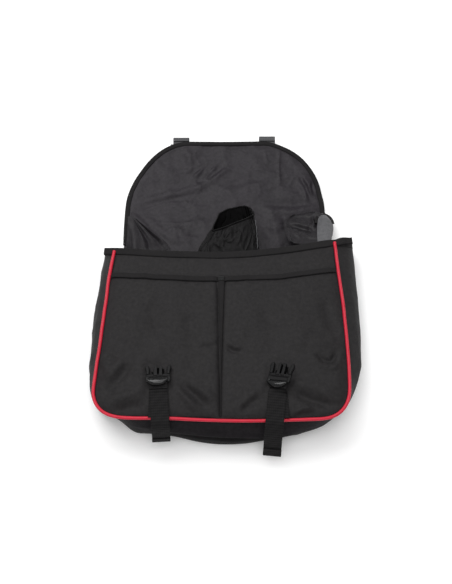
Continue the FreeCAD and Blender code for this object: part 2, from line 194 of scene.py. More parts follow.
def sweep(name, path, profile, up, scale=None, sharp=50, caps=True, uvn=None):
    """Sweeps a closed profile (b across, n up) along a path."""
    path = np.asarray(path, float); T, N, B = frames(path, up)
    pr = np.array(profile, float); m = len(pr); n = len(path)
    s = np.ones((n, 2)) if scale is None else np.asarray(scale, float).reshape(n, -1) * np.ones((n, 2))
    V = path[:, None, :] + B[:, None, :] * (pr[None, :, 0:1] * s[:, None, 0:1]) + N[:, None, :] * (pr[None, :, 1:2] * s[:, None, 1:2])
    per = np.concatenate([[0], np.cumsum(np.linalg.norm(np.diff(np.vstack([pr, pr[:1]]), axis=0), axis=1))])[:m]
    ln = np.concatenate([[0], np.cumsum(np.linalg.norm(np.diff(path, axis=0), axis=1))])
    # the across coordinate is the profile's own b, so that a weave runs straight
    uv = np.stack([np.repeat(pr[None, :, 0], n, 0), np.repeat(ln[:, None], m, 1)], axis=2) if uvn is None else np.stack([np.repeat(per[None, :], n, 0), np.repeat(ln[:, None], m, 1)], axis=2)
    faces = []
    for i in range(n - 1):
        for j in range(m):
            k = (j + 1) % m
            faces.append((i * m + j, i * m + k, (i + 1) * m + k, (i + 1) * m + j))
    if caps:
        faces.append(tuple(range(m))[::-1]); faces.append(tuple((n - 1) * m + j for j in range(m)))
    ob = new_mesh(name, V.reshape(-1, 3), faces, uv.reshape(-1, 2))
    bm = bmesh.new(); bm.from_mesh(ob.data)
    bmesh.ops.recalc_face_normals(bm, faces=bm.faces)
    bm.to_mesh(ob.data); bm.free()
    ob.data.set_sharp_from_angle(angle=math.radians(sharp))
    return ob


def tape_profile(w, t, n=9, crown=0.0):
    """A flat tape's section, rounded at its edges."""
    r = t / 2
    top = [(x, r + crown * (1 - (2 * x / w) ** 2)) for x in np.linspace(-w / 2 + r, w / 2 - r, n)]
    right = [(w / 2 - r + r * math.cos(a), r * math.sin(a)) for a in (math.pi / 4, 0, -math.pi / 4)]
    bot = [(x, -r + crown * (1 - (2 * x / w) ** 2)) for x in np.linspace(w / 2 - r, -w / 2 + r, n)]
    left = [(-w / 2 + r + r * math.cos(a), r * math.sin(a)) for a in (-3 * math.pi / 4, math.pi, 3 * math.pi / 4)]
    return (top + right + bot + left)[::-1]


def join(name, obs):
    bm = bmesh.new()
    lay = bm.loops.layers.uv.new("UVMap")
    for o in obs:
        bm.from_mesh(o.data)
    me = bpy.data.meshes.new(name); bm.to_mesh(me); bm.free()
    ob = bpy.data.objects.new(name, me); SC.collection.objects.link(ob)
    for o in obs:
        d = o.data; bpy.data.objects.remove(o); bpy.data.meshes.remove(d)
    return ob


# =====================================================================
# Materials
# =====================================================================
class Nodes:
    def __init__(self, name):
        self.m = bpy.data.materials.new(name); self.m.use_nodes = True
        self.t = self.m.node_tree; self.t.nodes.clear()
        self.out = self.t.nodes.new("ShaderNodeOutputMaterial")
        self.b = self.t.nodes.new("ShaderNodeBsdfPrincipled")
        self.t.links.new(self.b.outputs[0], self.out.inputs[0])

    def n(self, kind, **kw):
        x = self.t.nodes.new(kind)
        for k, v in kw.items():
            setattr(x, k, v)
        return x

    def l(self, a, b):
        self.t.links.new(a, b)

    def val(self, sock, v):
        self.b.inputs[sock].default_value = v

    def math(self, op, a, b=None, c=None):
        x = self.n("ShaderNodeMath", operation=op)
        for k, v in enumerate((a, b, c)):
            if v is None: continue
            if isinstance(v, (int, float)): x.inputs[k].default_value = v
            else: self.l(v, x.inputs[k])
        return x.outputs[0]

    def noise(self, vec, scale, detail=3.0, rough=0.55):
        x = self.n("ShaderNodeTexNoise"); x.inputs["Scale"].default_value = scale
        x.inputs["Detail"].default_value = detail; x.inputs["Roughness"].default_value = rough
        self.l(vec, x.inputs["Vector"]); return x.outputs["Fac"]

    def wave(self, vec, scale, axis, distort=0.0):
        x = self.n("ShaderNodeTexWave", wave_type="BANDS", bands_direction=axis, wave_profile="SIN")
        x.inputs["Scale"].default_value = scale; x.inputs["Distortion"].default_value = distort
        x.inputs["Detail"].default_value = 1.0; x.inputs["Detail Scale"].default_value = 0.6
        self.l(vec, x.inputs["Vector"]); return x.outputs["Fac"]

    def ramp(self, fac, stops):
        x = self.n("ShaderNodeValToRGB"); e = x.color_ramp.elements
        while len(e) < len(stops): e.new(0.5)
        for k, (p, col) in enumerate(stops):
            e[k].position = p; e[k].color = (*col, 1)
        self.l(fac, x.inputs[0]); return x.outputs["Color"]

    def mixc(self, fac, a, b, mode="MIX"):
        x = self.n("ShaderNodeMix", data_type="RGBA", blend_type=mode)
        if isinstance(fac, (int, float)): x.inputs[0].default_value = fac
        else: self.l(fac, x.inputs[0])
        for k, v in ((6, a), (7, b)):
            if isinstance(v, tuple): x.inputs[k].default_value = (*v, 1)
            else: self.l(v, x.inputs[k])
        return x.outputs[2]

    def bumpn(self, height, strength, dist, prev=None):
        x = self.n("ShaderNodeBump"); x.inputs["Strength"].default_value = strength; x.inputs["Distance"].default_value = dist
        self.l(height, x.inputs["Height"])
        if prev is not None: self.l(prev, x.inputs["Normal"])
        return x.outputs[0]


def uvmap(N):
    x = N.n("ShaderNodeUVMap"); x.uv_map = "UVMap"; return x.outputs[0]


def objc(N):
    return N.n("ShaderNodeTexCoord").outputs["Object"]


def mat_fabric(name, dark, light, pitch=0.75, rough=0.78, sheen=0.12, weave=0.35, tint=0.5, spec=0.35, mott=18.0, base=None):
    """Woven cloth.  UV is in units of 100 mm.  pitch is the yarn spacing in mm."""
    N = Nodes(name); uv = uvmap(N); ob = objc(N)
    f = 100.0 / pitch / 3.1416 / 2 * 3.1416
    k = 100.0 / pitch / 20.0 * 3.1831          # bands per unit, for the wave node
    wx = N.wave(uv, k, "X", 0.25); wy = N.wave(uv, k, "Y", 0.25)
    over = N.math("MULTIPLY", N.math("SUBTRACT", wx, 0.5), N.math("SUBTRACT", wy, 0.5))
    cell = N.math("MULTIPLY_ADD", over, 2.0, 0.5)
    fine = N.noise(ob, 900.0, 2.0, 0.6)
    big = N.noise(ob, mott, 4.0, 0.6)
    mid = N.noise(ob, 190.0, 5.0, 0.65)
    fac = N.math("ADD", N.math("MULTIPLY", cell, 0.40), N.math("ADD", N.math("MULTIPLY", fine, 0.22), N.math("MULTIPLY", big, tint * 0.55)))
    fac = N.math("ADD", fac, N.math("MULTIPLY_ADD", mid, 0.9, -0.45))
    col = N.ramp(fac, [(0.20, dark), (0.90, light)])
    N.l(col, N.b.inputs["Base Color"])
    r = N.math("MULTIPLY_ADD", big, 0.16, rough - 0.08)
    N.l(r, N.b.inputs["Roughness"])
    N.val("Specular IOR Level", spec)
    if base:
        # painted shade: towards the front of the base the colour is darkened, most on the part below the fold, and the
        # specular is lowered, standing in for the shade there
        low, band = base
        sep = N.n("ShaderNodeSeparateXYZ"); N.l(ob, sep.inputs[0])
        ky = N.n("ShaderNodeMapRange", interpolation_type="SMOOTHSTEP"); N.l(sep.outputs[1], ky.inputs[0])
        for q, v in zip((1, 2, 3, 4), (-0.124, -0.074, 1.0, 0.0)): ky.inputs[q].default_value = v
        kz = N.n("ShaderNodeMapRange", interpolation_type="SMOOTHSTEP"); N.l(sep.outputs[2], kz.inputs[0])
        for q, v in zip((1, 2, 3, 4), (0.030, 0.037, 1.0, 0.0)): kz.inputs[q].default_value = v
        deep = N.mixc(kz.outputs[0], N.ramp(fac, [(0.20, band[0]), (0.90, band[1])]), N.ramp(fac, [(0.20, low[0]), (0.90, low[1])]))
        N.l(N.mixc(ky.outputs[0], col, deep), N.b.inputs["Base Color"])
        N.l(N.math("MULTIPLY_ADD", ky.outputs[0], 0.07 - spec, spec), N.b.inputs["Specular IOR Level"])
    N.val("Sheen Weight", sheen); N.val("Sheen Roughness", 0.45); N.val("Sheen Tint", (0.75, 0.75, 0.78, 1))
    h = N.math("ADD", cell, N.math("MULTIPLY", fine, 0.35))
    b1 = N.bumpn(N.noise(ob, 60.0, 4.0, 0.55), 0.22, 0.0012)
    b2 = N.bumpn(h, weave, 0.00022, b1)
    N.l(b2, N.b.inputs["Normal"])
    return N.m


def mat_tape(name, dark, light, pitch=1.1, rough=0.72, sheen=0.12, edge=None, strength=0.55, diag=False, spec=0.3):
    """Ribbed tape or webbing: ribs lie across the tape, with fine yarns along it."""
    N = Nodes(name); uv = uvmap(N); ob = objc(N)
    k = 100.0 / pitch / 20.0 * 3.1831
    rib = N.wave(uv, k, "Y", 0.35)
    yarn = N.wave(uv, k * 1.35, "X", 0.3)
    tw = N.wave(uv, k * 0.5, "DIAGONAL", 0.6)
    fine = N.noise(ob, 1100.0, 2.0, 0.6); big = N.noise(ob, 26.0, 3.0, 0.6)
    h = N.math("ADD", N.math("MULTIPLY", rib, 0.7), N.math("MULTIPLY", yarn, 0.35))
    h = N.math("ADD", h, N.math("MULTIPLY", fine, 0.25))
    if diag:
        h = N.math("ADD", h, N.math("MULTIPLY", tw, 0.3))
    fac = N.math("ADD", N.math("MULTIPLY", h, 0.42), N.math("MULTIPLY", big, 0.5))
    N.l(N.ramp(fac, [(0.25, dark), (0.85, light)]), N.b.inputs["Base Color"])
    N.l(N.math("MULTIPLY_ADD", big, 0.14, rough - 0.07), N.b.inputs["Roughness"])
    N.val("Specular IOR Level", spec)
    N.val("Sheen Weight", sheen); N.val("Sheen Roughness", 0.4); N.val("Sheen Tint", (0.8, 0.8, 0.82, 1))
    N.l(N.bumpn(h, strength, 0.00045), N.b.inputs["Normal"])
    return N.m


def mat_plastic(name, base, rough=0.3, spec=0.5, grain=0.25):
    N = Nodes(name); ob = objc(N)
    fine = N.noise(ob, 700.0, 3.0, 0.6); big = N.noise(ob, 60.0, 4.0, 0.6)
    N.l(N.mixc(big, tuple(c * 0.8 for c in base), tuple(min(1, c * 1.3) for c in base)), N.b.inputs["Base Color"])
    N.l(N.math("MULTIPLY_ADD", big, 0.14, rough - 0.07), N.b.inputs["Roughness"])
    N.val("Specular IOR Level", spec)
    N.l(N.bumpn(fine, grain, 0.00006), N.b.inputs["Normal"])
    return N.m


def mat_piping(name):
    N = Nodes(name); ob = objc(N); uv = uvmap(N)
    big = N.noise(ob, 40.0, 4.0, 0.6); fine = N.noise(ob, 800.0, 2.0, 0.6)
    N.l(N.mixc(big, (0.44, 0.0042, 0.0200), (0.58, 0.0095, 0.0380)), N.b.inputs["Base Color"])
    N.l(N.math("MULTIPLY_ADD", big, 0.12, 0.34), N.b.inputs["Roughness"])
    N.val("Specular IOR Level", 0.34)
    tw = N.wave(uv, 22.0, "DIAGONAL", 0.5)
    b = N.bumpn(tw, 0.10, 0.0003); b = N.bumpn(fine, 0.15, 0.00008, b)
    N.l(b, N.b.inputs["Normal"])
    return N.m


M = {
    "shell": mat_fabric("shell_fabric", (0.0062, 0.0056, 0.0060), (0.0232, 0.0212, 0.0220), pitch=0.8, rough=0.68, sheen=0.03, weave=0.7, spec=0.22),
    "lining": mat_fabric("lining_fabric", (0.0074, 0.0064, 0.0078), (0.0296, 0.0258, 0.0310), pitch=0.35, rough=0.46, sheen=0.0, weave=0.16, tint=0.9, spec=0.165, mott=9.0),
    "pouch": mat_fabric("pouch_fabric", (0.0010, 0.0009, 0.0010), (0.0068, 0.0063, 0.0067), pitch=0.4, rough=0.50, sheen=0.0, weave=0.2, tint=1.2, spec=0.11, mott=30.0),
    # near-black copy of the pouch cloth: painted shade for the inside of the pouch
    "pouch_inside_shade": mat_fabric("pouch_inside_painted_shade_fabric", (0.0008, 0.0008, 0.0008), (0.0030, 0.0028, 0.0030), pitch=0.4, rough=0.8, sheen=0.0, weave=0.2, tint=0.9, spec=0.05, mott=14.0),
    # ears: a darker copy of the lining colours, painted shade for the lining folded down inside the mouth
    "ear": mat_fabric("ear_lining_painted_shade", (0.0040, 0.0035, 0.0042), (0.0205, 0.0182, 0.0212), pitch=0.35, rough=0.46, sheen=0.0, weave=0.16, tint=1.1, spec=0.19, mott=24.0),
    "pale": mat_fabric("coated_back_fabric", (0.052, 0.052, 0.056), (0.110, 0.110, 0.115), pitch=0.5, rough=0.6, sheen=0.05, weave=0.2, tint=0.9, spec=0.3),
    "tape": mat_tape("binding_tape", (0.0060, 0.0056, 0.0060), (0.0200, 0.0187, 0.0192), pitch=1.0, rough=0.82, sheen=0.02, spec=0.15),
    "web": mat_tape("webbing", (0.0035, 0.0033, 0.0035), (0.0125, 0.0117, 0.0121), pitch=2.1, rough=0.78, sheen=0.02, strength=1.0, diag=True, spec=0.14),
    "tabweb": mat_tape("tab_webbing", (0.052, 0.052, 0.055), (0.105, 0.105, 0.109), pitch=2.1, rough=0.75, sheen=0.04, strength=0.8, spec=0.2),
    "plastic": mat_plastic("buckle_plastic", (0.0062, 0.0060, 0.0064), rough=0.46, spec=0.12, grain=0.06),
    # near-black copy of the buckle plastic: painted shade for the low faces, sides and undersides of plugs and arms
    "painted_shade": mat_plastic("buckle_plastic_painted_shade", (0.0012, 0.0012, 0.0013), rough=0.7, spec=0.03, grain=0.06),
    # gusset cloth: the shell colours, with painted shade at the front of the base (darker colours, lower specular)
    "gusset": mat_fabric("gusset_fabric_painted_base_shade", (0.0062, 0.0056, 0.0060), (0.0232, 0.0212, 0.0220), pitch=0.8, rough=0.68, sheen=0.02, weave=0.7, spec=0.22,
                         base=(((0.0026, 0.0023, 0.0026), (0.0098, 0.0088, 0.0094)), ((0.0054, 0.0046, 0.0055), (0.0200, 0.0172, 0.0202)))),
    "gloss": mat_plastic("buckle_plastic_polished", (0.0040, 0.0040, 0.0044), rough=0.20, spec=0.42, grain=0.02),
    "red": mat_piping("piping_red"),
    "thread": mat_plastic("stitching", (0.010, 0.010, 0.0105), rough=0.6, spec=0.3, grain=0.5),
}


def paint(ob, mat):
    ob.data.materials.clear(); ob.data.materials.append(M[mat])
    return ob


# =====================================================================
# Camera, lights, floor
# =====================================================================
def look(ob, at):
    d = Vector(at) - ob.location
    ob.rotation_euler = d.to_track_quat("-Z", "Y").to_euler()


cam = bpy.data.cameras.new("camera"); cam.lens = 59.4; cam.sensor_width = 36.0; cam.clip_end = 50
camo = bpy.data.objects.new("camera", cam); SC.collection.objects.link(camo)
camo.location = (0.0, -0.5493, 1.4338); look(camo, (0.0, 0.110, 0.020))
SC.camera = camo


def area(name, loc, at, size, power, col=(1, 1, 1)):
    l = bpy.data.lights.new(name, "AREA"); l.shape = "RECTANGLE"; l.size, l.size_y = size; l.energy = power; l.color = col
    o = bpy.data.objects.new(name, l); SC.collection.objects.link(o); o.location = loc; look(o, at); return o


area("key", (-0.88, 1.20, 2.05), (0, 0.1, 0), (1.6, 1.4), 30)
area("top", (-0.05, -0.35, 2.7), (0, 0.05, 0), (2.2, 1.9), 27)
area("back", (0.55, 1.4, 2.4), (0, 0.15, 0), (1.5, 1.4), 13)
w = bpy.data.worlds.new("world"); SC.world = w; w.use_nodes = True
w.node_tree.nodes["Background"].inputs[0].default_value = (1, 1, 1, 1)
w.node_tree.nodes["Background"].inputs[1].default_value = 0.46
SC.view_settings.view_transform = "Standard"

floor = new_mesh("floor", [(-4000, -4000, -0.4), (4000, -4000, -0.4), (4000, 4000, -0.4), (-4000, 4000, -0.4)], [(0, 1, 2, 3)])
fm = Nodes("floor_white"); fm.val("Base Color", (0.97, 0.97, 0.97, 1)); fm.val("Roughness", 0.9); fm.val("Specular IOR Level", 0.1); fm.val("Emission Color", (1, 1, 1, 1)); fm.val("Emission Strength", 0.09)
floor.data.materials.append(fm.m)

# =====================================================================
# The bag's own lines, the same as its design
# =====================================================================
BASE_Y = -119.0
RIM_L, RIM_R = (-179.0, 155.0), (174.0, 172.0)
SEAM_L, SEAM_R = (-206.0, BASE_Y), (197.0, BASE_Y)
CORNER_R = 50.0
HINGE_Y, FOLD_Y, TILT = 203.0, 281.0, math.radians(6.0)


SEAM = [(-179.5, 155), (-182.3, 133), (-185, 105), (-187, 77), (-189, 50), (-190.9, 23), (-192.6, -3), (-195, -29), (-197, -55), (-198.2, -70), (-197.6, -82), (-194, -93), (-187.5, -102),
        (-178.5, -108.8), (-167, -113.2), (-150, -115.8), (-120, -116.4), (-80, -116.9), (-40, -118.5), (0, -120.0), (40, -120.2), (80, -119.4), (120, -118), (140, -117.0), (153, -115.0),
        (164, -110.6), (173, -103), (179.5, -93.5), (183.4, -83), (185.2, -70), (185.9, -52), (185.8, -30), (185.3, -5), (184.6, 22), (183.2, 52), (181.5, 78), (179, 105), (176.8, 135), (175, 172.5)]
NS = 340
G = spline(SEAM, NS)
ARC = np.concatenate([[0], np.cumsum(np.linalg.norm(np.diff(G, axis=0), axis=1))])
TG = np.gradient(G, axis=0); TG /= np.linalg.norm(TG, axis=1)[:, None]
NG = np.stack([TG[:, 1], -TG[:, 0]], axis=1)           # outwards

# how far the gusset stands out from the seam: at its fold (34 mm up) and on the table
OUT = [(-180, 150, 17, 15), (-185, 100, 18, 16), (-189, 50, 19, 17), (-192.7, 0, 17.5, 15.5), (-195, -30, 15, 12.5), (-197, -55, 11.0, 8.5), (-198, -70, 8.0, 4), (-197, -84, 1.5, -3), (-189, -100, -5, -11),
       (-180, -108, -8.5, -18), (-168, -113, -9, -21), (-158, -115, -4, -12), (-150, -115.8, 0.5, -4.5), (-145, -116, 3.6, 1.2), (-141, -116, 5.4, 3.8), (-130, -116.3, 6.5, 3.8), (-114, -116.4, 8.5, 3.8), (-98, -116.6, 10.5, 5.0), (-80, -116.9, 12.6, 7.2),
       (-64, -117.5, 14, 10.6), (-50, -118.1, 15.2, 13.6), (-36, -118.6, 16.2, 15.9), (-17, -119.5, 16.9, 17.6), (4, -120.1, 17.2, 17.7), (34, -120.2, 17.6, 15.6), (55, -119.9, 18.0, 11.0), (72, -119.6, 16.2, 7.0),
       (88, -119.2, 14.4, 4.6), (102, -118.6, 12.2, 2.0), (116, -118.1, 9.4, -1), (130, -117.5, 6.4, -5), (143, -116.7, 2.6, -11), (155, -114.6, -3.5, -19), (164, -110.6, -6.5, -17), (173, -103, -5.5, -12), (180, -92, -2, -7),
       (184, -80, 2.8, -0.5), (185.6, -68, 8.5, 5.5), (185.9, -52, 15, 12), (185.8, -37, 19.5, 17), (185.7, -22, 22.5, 20), (185.2, 0, 24.5, 22), (184.5, 25, 26.5, 24), (182.9, 57, 27.5, 25), (180.9, 84, 29, 26.5), (178.5, 113, 31, 28.5),
       (176.5, 141, 31.5, 29), (175, 170, 31.5, 29)]
oi = [int(np.argmin(np.hypot(G[:, 0] - q[0], G[:, 1] - q[1]))) for q in OUT]
stand_a = np.interp(np.arange(NS), oi, [q[2] for q in OUT]); stand_b = np.interp(np.arange(NS), oi, [q[3] for q in OUT])
ker = np.ones(9) / 9
stand_a = np.convolve(np.pad(stand_a, 4, mode="edge"), ker, "valid"); stand_b = np.convolve(np.pad(stand_b, 4, mode="edge"), ker, "valid")


def seam_x(y, side, inset=0.0):
    """x of the seam line at height y, on the left (-1) or the right (+1)."""
    H = G - NG * inset
    k = NS // 2
    part = H[:k] if side < 0 else H[k:][::-1]
    ys = part[:, 1][::-1]; xs = part[:, 0][::-1]
    return np.interp(y, ys, xs)


def rim_y(x):
    return np.interp(x, [-196, -179, -90, -12, 40, 110, 174, 205], [158.8, 157.6, 152.9, 150.6, 153.6, 162.2, 173.2, 179.6])


def outline_x(curve, y, side):
    """x at height y on the left or right branch of an outline that dips in the middle."""
    k = int(np.argmin(curve[:, 1]))
    part = curve[:k + 1][::-1] if side < 0 else curve[k:]
    yv = np.maximum.accumulate(part[:, 1] + np.arange(len(part)) * 1e-6)
    return np.interp(y, yv, part[:, 0])


def rim_z(x):
    return np.interp(x, [-196, -180, -150, -60, 0, 70, 150, 180, 205], [58.0, 60.6, 60.8, 59.4, 59.0, 59.6, 61.0, 60.6, 56.5])


def y_levels(y0, y1, n, r=CORNER_R, both=False):
    """Rows that crowd towards the bottom, where the outline turns."""
    t = np.linspace(0, 1, n)
    return y0 + (y1 - y0) * (0.35 * t * t + 0.65 * t) if not both else y0 + (y1 - y0) * t


# =====================================================================
# Front of the bag
# =====================================================================
def front_noise(X, Y, a=1.0):
    return a * (0.9 * fbm(X / 90, Y / 90, 3, 3) + 0.35 * fbm(X / 28, Y / 28, 9, 3))


NR, NC = 96, 150
ys = y_levels(0.0, 1.0, NR)
X = np.zeros((NR, NC)); Y = np.zeros((NR, NC))
s = np.linspace(0, 1, NC)
sx = 0.5 - 0.5 * np.cos(math.pi * s); sx = 0.55 * sx + 0.45 * s
for i, t in enumerate(ys):
    # each row runs from seam to seam; the top row follows the mouth
    yb = BASE_Y + 0.6 + t * (153.0 - BASE_Y - 0.6)
    xl = seam_x(yb, -1, 0.6); xr = seam_x(yb, 1, 0.6)
    X[i] = xl + (xr - xl) * sx
    rise = rim_y(X[i]) - 153.0
    Y[i] = yb + rise * t ** 2.2
edge_d = np.minimum(np.minimum(X - seam_x(Y, -1, 0.6), seam_x(Y, 1, 0.6) - X), 400)
Z = 62.0 + 1.2 * sm(0, 20, edge_d) + front_noise(X, Y, 1.3) * sm(0, 25, edge_d)
Z += crease(X, Y, [(-150, 146), (-105, 132), (-60, 140)], 9, -2.4) + crease(X, Y, [(-20, 150), (5, 128)], 10, -2.0) + crease(X, Y, [(60, 130), (120, 142), (150, 140)], 9, -1.8)
Z += crease(X, Y, [(-120, 128), (-40, 124)], 8, 0.8)
top = sm(130, 158, Y)
Z = Z * (1 - top) + top * (rim_z(X) + 0.4)
under_pocket = sm(104, 80, Y)
Z -= 1.2 * under_pocket
front = grid("front_panel_cloth", np.stack([X, Y, Z], 2), thick=1.2)
paint(front, "shell"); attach(front, "root"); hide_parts("front_panel")

# ---- pockets
def divide_x(y, side):
    # edges of the two pockets beside the narrow strip
    if side < 0: return np.interp(y, [-116, -60, 40, 104], [-9.2, -10.1, -12.3, -13.8])
    return np.interp(y, [-116, -60, 40, 104], [-8.6, -7.7, -5.2, -3.0])


def pocket_top(x):
    return np.interp(x, [-186, -112, -55, -12, 8, 84, 130, 165, 178], [123.4, 118.2, 116.2, 115.8, 116.2, 119.0, 125.2, 131.4, 133.4])


def pocket(side):
    nr, nc = 120, 84
    t = np.linspace(0, 1, nr); t = 0.3 * t * t + 0.7 * t
    X = np.zeros((nr, nc)); Y = np.zeros((nr, nc))
    s = np.linspace(0, 1, nc); s = 0.5 * (0.5 - 0.5 * np.cos(math.pi * s)) + 0.5 * s
    y0 = BASE_Y + 2.6
    for i, tt in enumerate(t):
        yb = y0 + tt * (112.8 - y0)
        if side < 0:
            xl = seam_x(yb, -1, 2.4); xr = divide_x(yb, -1)
        else:
            xl = divide_x(yb, 1); xr = seam_x(yb, 1, 2.4)
        X[i] = xl + (xr - xl) * s
        Y[i] = yb + (pocket_top(X[i]) - 112.8) * tt ** 2.5
    H = G - NG * 2.4
    # distance to the sewn edge round the outside
    D = np.full(X.shape, 1e9)
    for k in range(0, NS, 2):
        D = np.minimum(D, np.hypot(X - H[k, 0], Y - H[k, 1]))
    C = np.abs(X - divide_x(Y, side))
    low = 63.4
    Z = low + 4.6 * (1 - np.exp(-(D / 9.0) ** 1.3))
    mid = 1 - np.exp(-(C / 4.0) ** 1.5)
    Z = low + 1.0 + (Z - low - 1.0) * (0.25 + 0.75 * mid)
    body = sm(0, 30, D) * sm(0, 18, C)
    Z += body * (2.2 * fbm(X / 62 + side, Y / 62, 21, 3) + 0.9 * fbm(X / 20, Y / 20, 31, 3) + 1.8 * (folds(X / 75 + side, Y / 90, 41, 2.6) - 0.4))
    puff = 2.6 * np.exp(-(((X - side * 98 + 8) / 62) ** 2 + ((Y + 10) / 88) ** 2))
    Z += puff * body
    for pts, wd, ht in CR[side]:
        Z += crease(X, Y, pts, wd * 0.85, ht * (2.7 if ht > 0 else 3.4)) * sm(0, 10, D)
    # small gathers where the seam pulls, and beside the strip
    Z += 0.35 * np.sin(ARCN(X, Y) / 7.5 + 2 * fbm(X / 30, Y / 30, 5, 2)) * np.exp(-D / 9) * sm(0.5, 4, D)
    Z += 0.35 * np.sin(Y / 6.0 + 2 * fbm(X / 18, Y / 18, 15, 2)) * np.exp(-C / 8) * sm(0.5, 4, C)
    # the mouth of the pocket closes on to the front
    h = pocket_top(X) - Y
    Z -= 3.2 * sm(20, 0, h)
    Z += 0.5 * fbm(X / 35, 0 * X + side, 77, 2) * sm(20, 0, h)
    # rolled edge into the seam at the middle strip
    Z -= 1.6 * np.exp(-(C / 1.6) ** 2)
    Z = 71.6 + 3.4 * np.tanh((Z - 71.6) / 3.4) * (Z > 71.6) + (Z - 71.6) * (Z <= 71.6)
    sc = np.where(X < -10, -98.0 - 0.0576 * (Y + 118), 73.0 + 0.1016 * (Y + 118))
    lie_on = sm(25, 16, np.abs(X - sc)) * sm(-22, -36, Y)
    Z = Z - lie_on * np.maximum(Z - 68.2, 0) * 0.94
    return X, Y, Z


def ARCN(X, Y):
    return np.arctan2(Y + 20, X) * 150.0


CR = {
    -1: [([(-43, 1), (-28, 3), (-13, 6)], 5, 0.55), ([(-45, -9), (-28, -6), (-14, -3)], 7, -0.45), ([(-138, -25), (-153, -44), (-168, -65), (-184, -86)], 10, -1.5), ([(-152, -22), (-170, -44), (-184, -62)], 9, 1.1),
         ([(-174, -96), (-146, -82), (-118, -71)], 10, 1.4), ([(-170, -108), (-140, -100), (-118, -96)], 8, -0.8), ([(-191, -26), (-172, -45), (-159, -64)], 7, 0.7), ([(-185, -20), (-163, -27)], 6, -0.7),
         ([(-75, -70), (-60, -86), (-40, -108)], 7, 1.5), ([(-70, -62), (-48, -80), (-24, -102)], 7, -1.4), ([(-56, -58), (-34, -76), (-12, -94)], 9, 1.1), ([(-118, 74), (-108, 40), (-104, 10)], 14, -1.2), ([(-150, 60), (-142, 20), (-146, -10)], 14, 1.0),
         ([(-60, 60), (-52, 20), (-58, -20)], 16, -0.9)],
    1: [([(-2, -2), (11, -11), (25, -12)], 4, -1.0), ([(2, 4), (14, -4), (28, -5)], 5, 0.8), ([(134, -12), (149, -28), (160, -28), (171, -8)], 5, -1.3), ([(126, -14), (142, -36), (163, -38), (178, -22)], 7, 1.1), ([(130, 6), (152, 0), (172, 8)], 8, 0.8),
        ([(92, -74), (118, -86), (150, -96), (168, -98)], 8, -1.6), ([(98, -112), (114, -103), (132, -101)], 6, 1.5), ([(96, -58), (130, -70), (166, -82)], 11, 1.2), ([(54, -84), (38, -94), (20, -110)], 7, -1.0), ([(15, -104), (30, -90), (46, -76)], 7, 1.1),
        ([(28, -66), (44, -80), (48, -102)], 7, 0.8), ([(60, 70), (70, 20), (66, -20)], 16, -1.1), ([(150, 80), (160, 40), (172, 10)], 12, -1.1), ([(104, 60), (112, 20), (108, -20)], 15, 0.9)],
}
for side, nm in ((-1, "left"), (1, "right")):
    X, Y, Z = pocket(side)
    # turn the hem edge and the outer edge down so that no raw edge shows
    P = np.stack([X, Y, Z], 2)
    extra = P[-1:].copy(); extra[..., 2] -= 1.5; extra[..., 1] -= 0.2
    P = np.concatenate([P, extra], 0)
    ob = grid(nm + "_pocket_cloth", P, thick=0.9, sharp=60)
    paint(ob, "shell"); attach(ob, "root"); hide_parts(nm + "_pocket")

    # the tape folded over the pocket's top edge
    hx = np.linspace(X[-1, 0] + (-0.6 if side < 0 else 0.4), X[-1, -1] + (0.2 if side < 0 else 0.8), 110)
    hz = np.interp(hx, X[-1], Z[-3])
    hy = pocket_top(hx) - 4.3 + 0.35 * fbm(hx / 30, hx * 0, 79 + side, 2)
    tilt_up = np.stack([0 * hx, 0.10 + 0 * hx, 1 + 0 * hx], 1)
    ob = sweep(nm + "_pocket_hem_tape", np.stack([hx, hy, hz + 1.9 + 0.25 * fbm(hx / 22, hx * 0 + 3, 80 + side, 2)], 1), tape_profile(9.4, 2.4, 9, 0.2), tilt_up)
    paint(ob, "tape"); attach(ob, "root"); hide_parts(nm + "_pocket_hem")

# strip between the pockets, with its bar of stitches
yy = np.linspace(-114, 117.4, 96)
xc = (divide_x(yy, -1) + divide_x(yy, 1) + 2.6) / 2; wd = (divide_x(yy, 1) - divide_x(yy, -1) - 2.0) / 10.8
zz = 65.3 + 0.35 * fbm(yy / 22, yy * 0, 8, 2) - 0.5 * sm(-40, -112, yy) - 0.4 * sm(104, 117, yy)
strip = sweep("pocket_divider_tape", np.stack([xc, yy, zz], 1), tape_profile(11.2, 1.3, 7, 0.5), (0, 0, 1), scale=np.stack([np.maximum(wd, 0.16), np.ones_like(wd)], 1))
paint(strip, "tape"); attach(strip, "root"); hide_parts("pocket_divider")
bt = []
for k in range(15):
    x = -12.6 + k * 0.62
    bt.append((x + 0.6, 112.6 + (k % 2) * 3.4, 67.0))
bar = sweep("divider_bartack_thread", spline(bt, 120), [(0.34 * math.cos(a), 0.34 * math.sin(a)) for a in np.linspace(0, 2 * math.pi, 7)[:-1]], (0, 0, 1))
bar2 = sweep("bt2", spline([(x, y - 3.6, z) for x, y, z in bt], 120), [(0.34 * math.cos(a), 0.34 * math.sin(a)) for a in np.linspace(0, 2 * math.pi, 7)[:-1]], (0, 0, 1))
bar = join("divider_bartack_thread_rows", [bar, bar2])
paint(bar, "thread"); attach(bar, "root"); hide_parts("divider_bartack")

# ---- red piping, slightly uneven as a sewn cord is
def ring(r, n=14):
    return [(r * math.cos(a), r * math.sin(a)) for a in np.linspace(0, 2 * math.pi, n + 1)[:-1]]


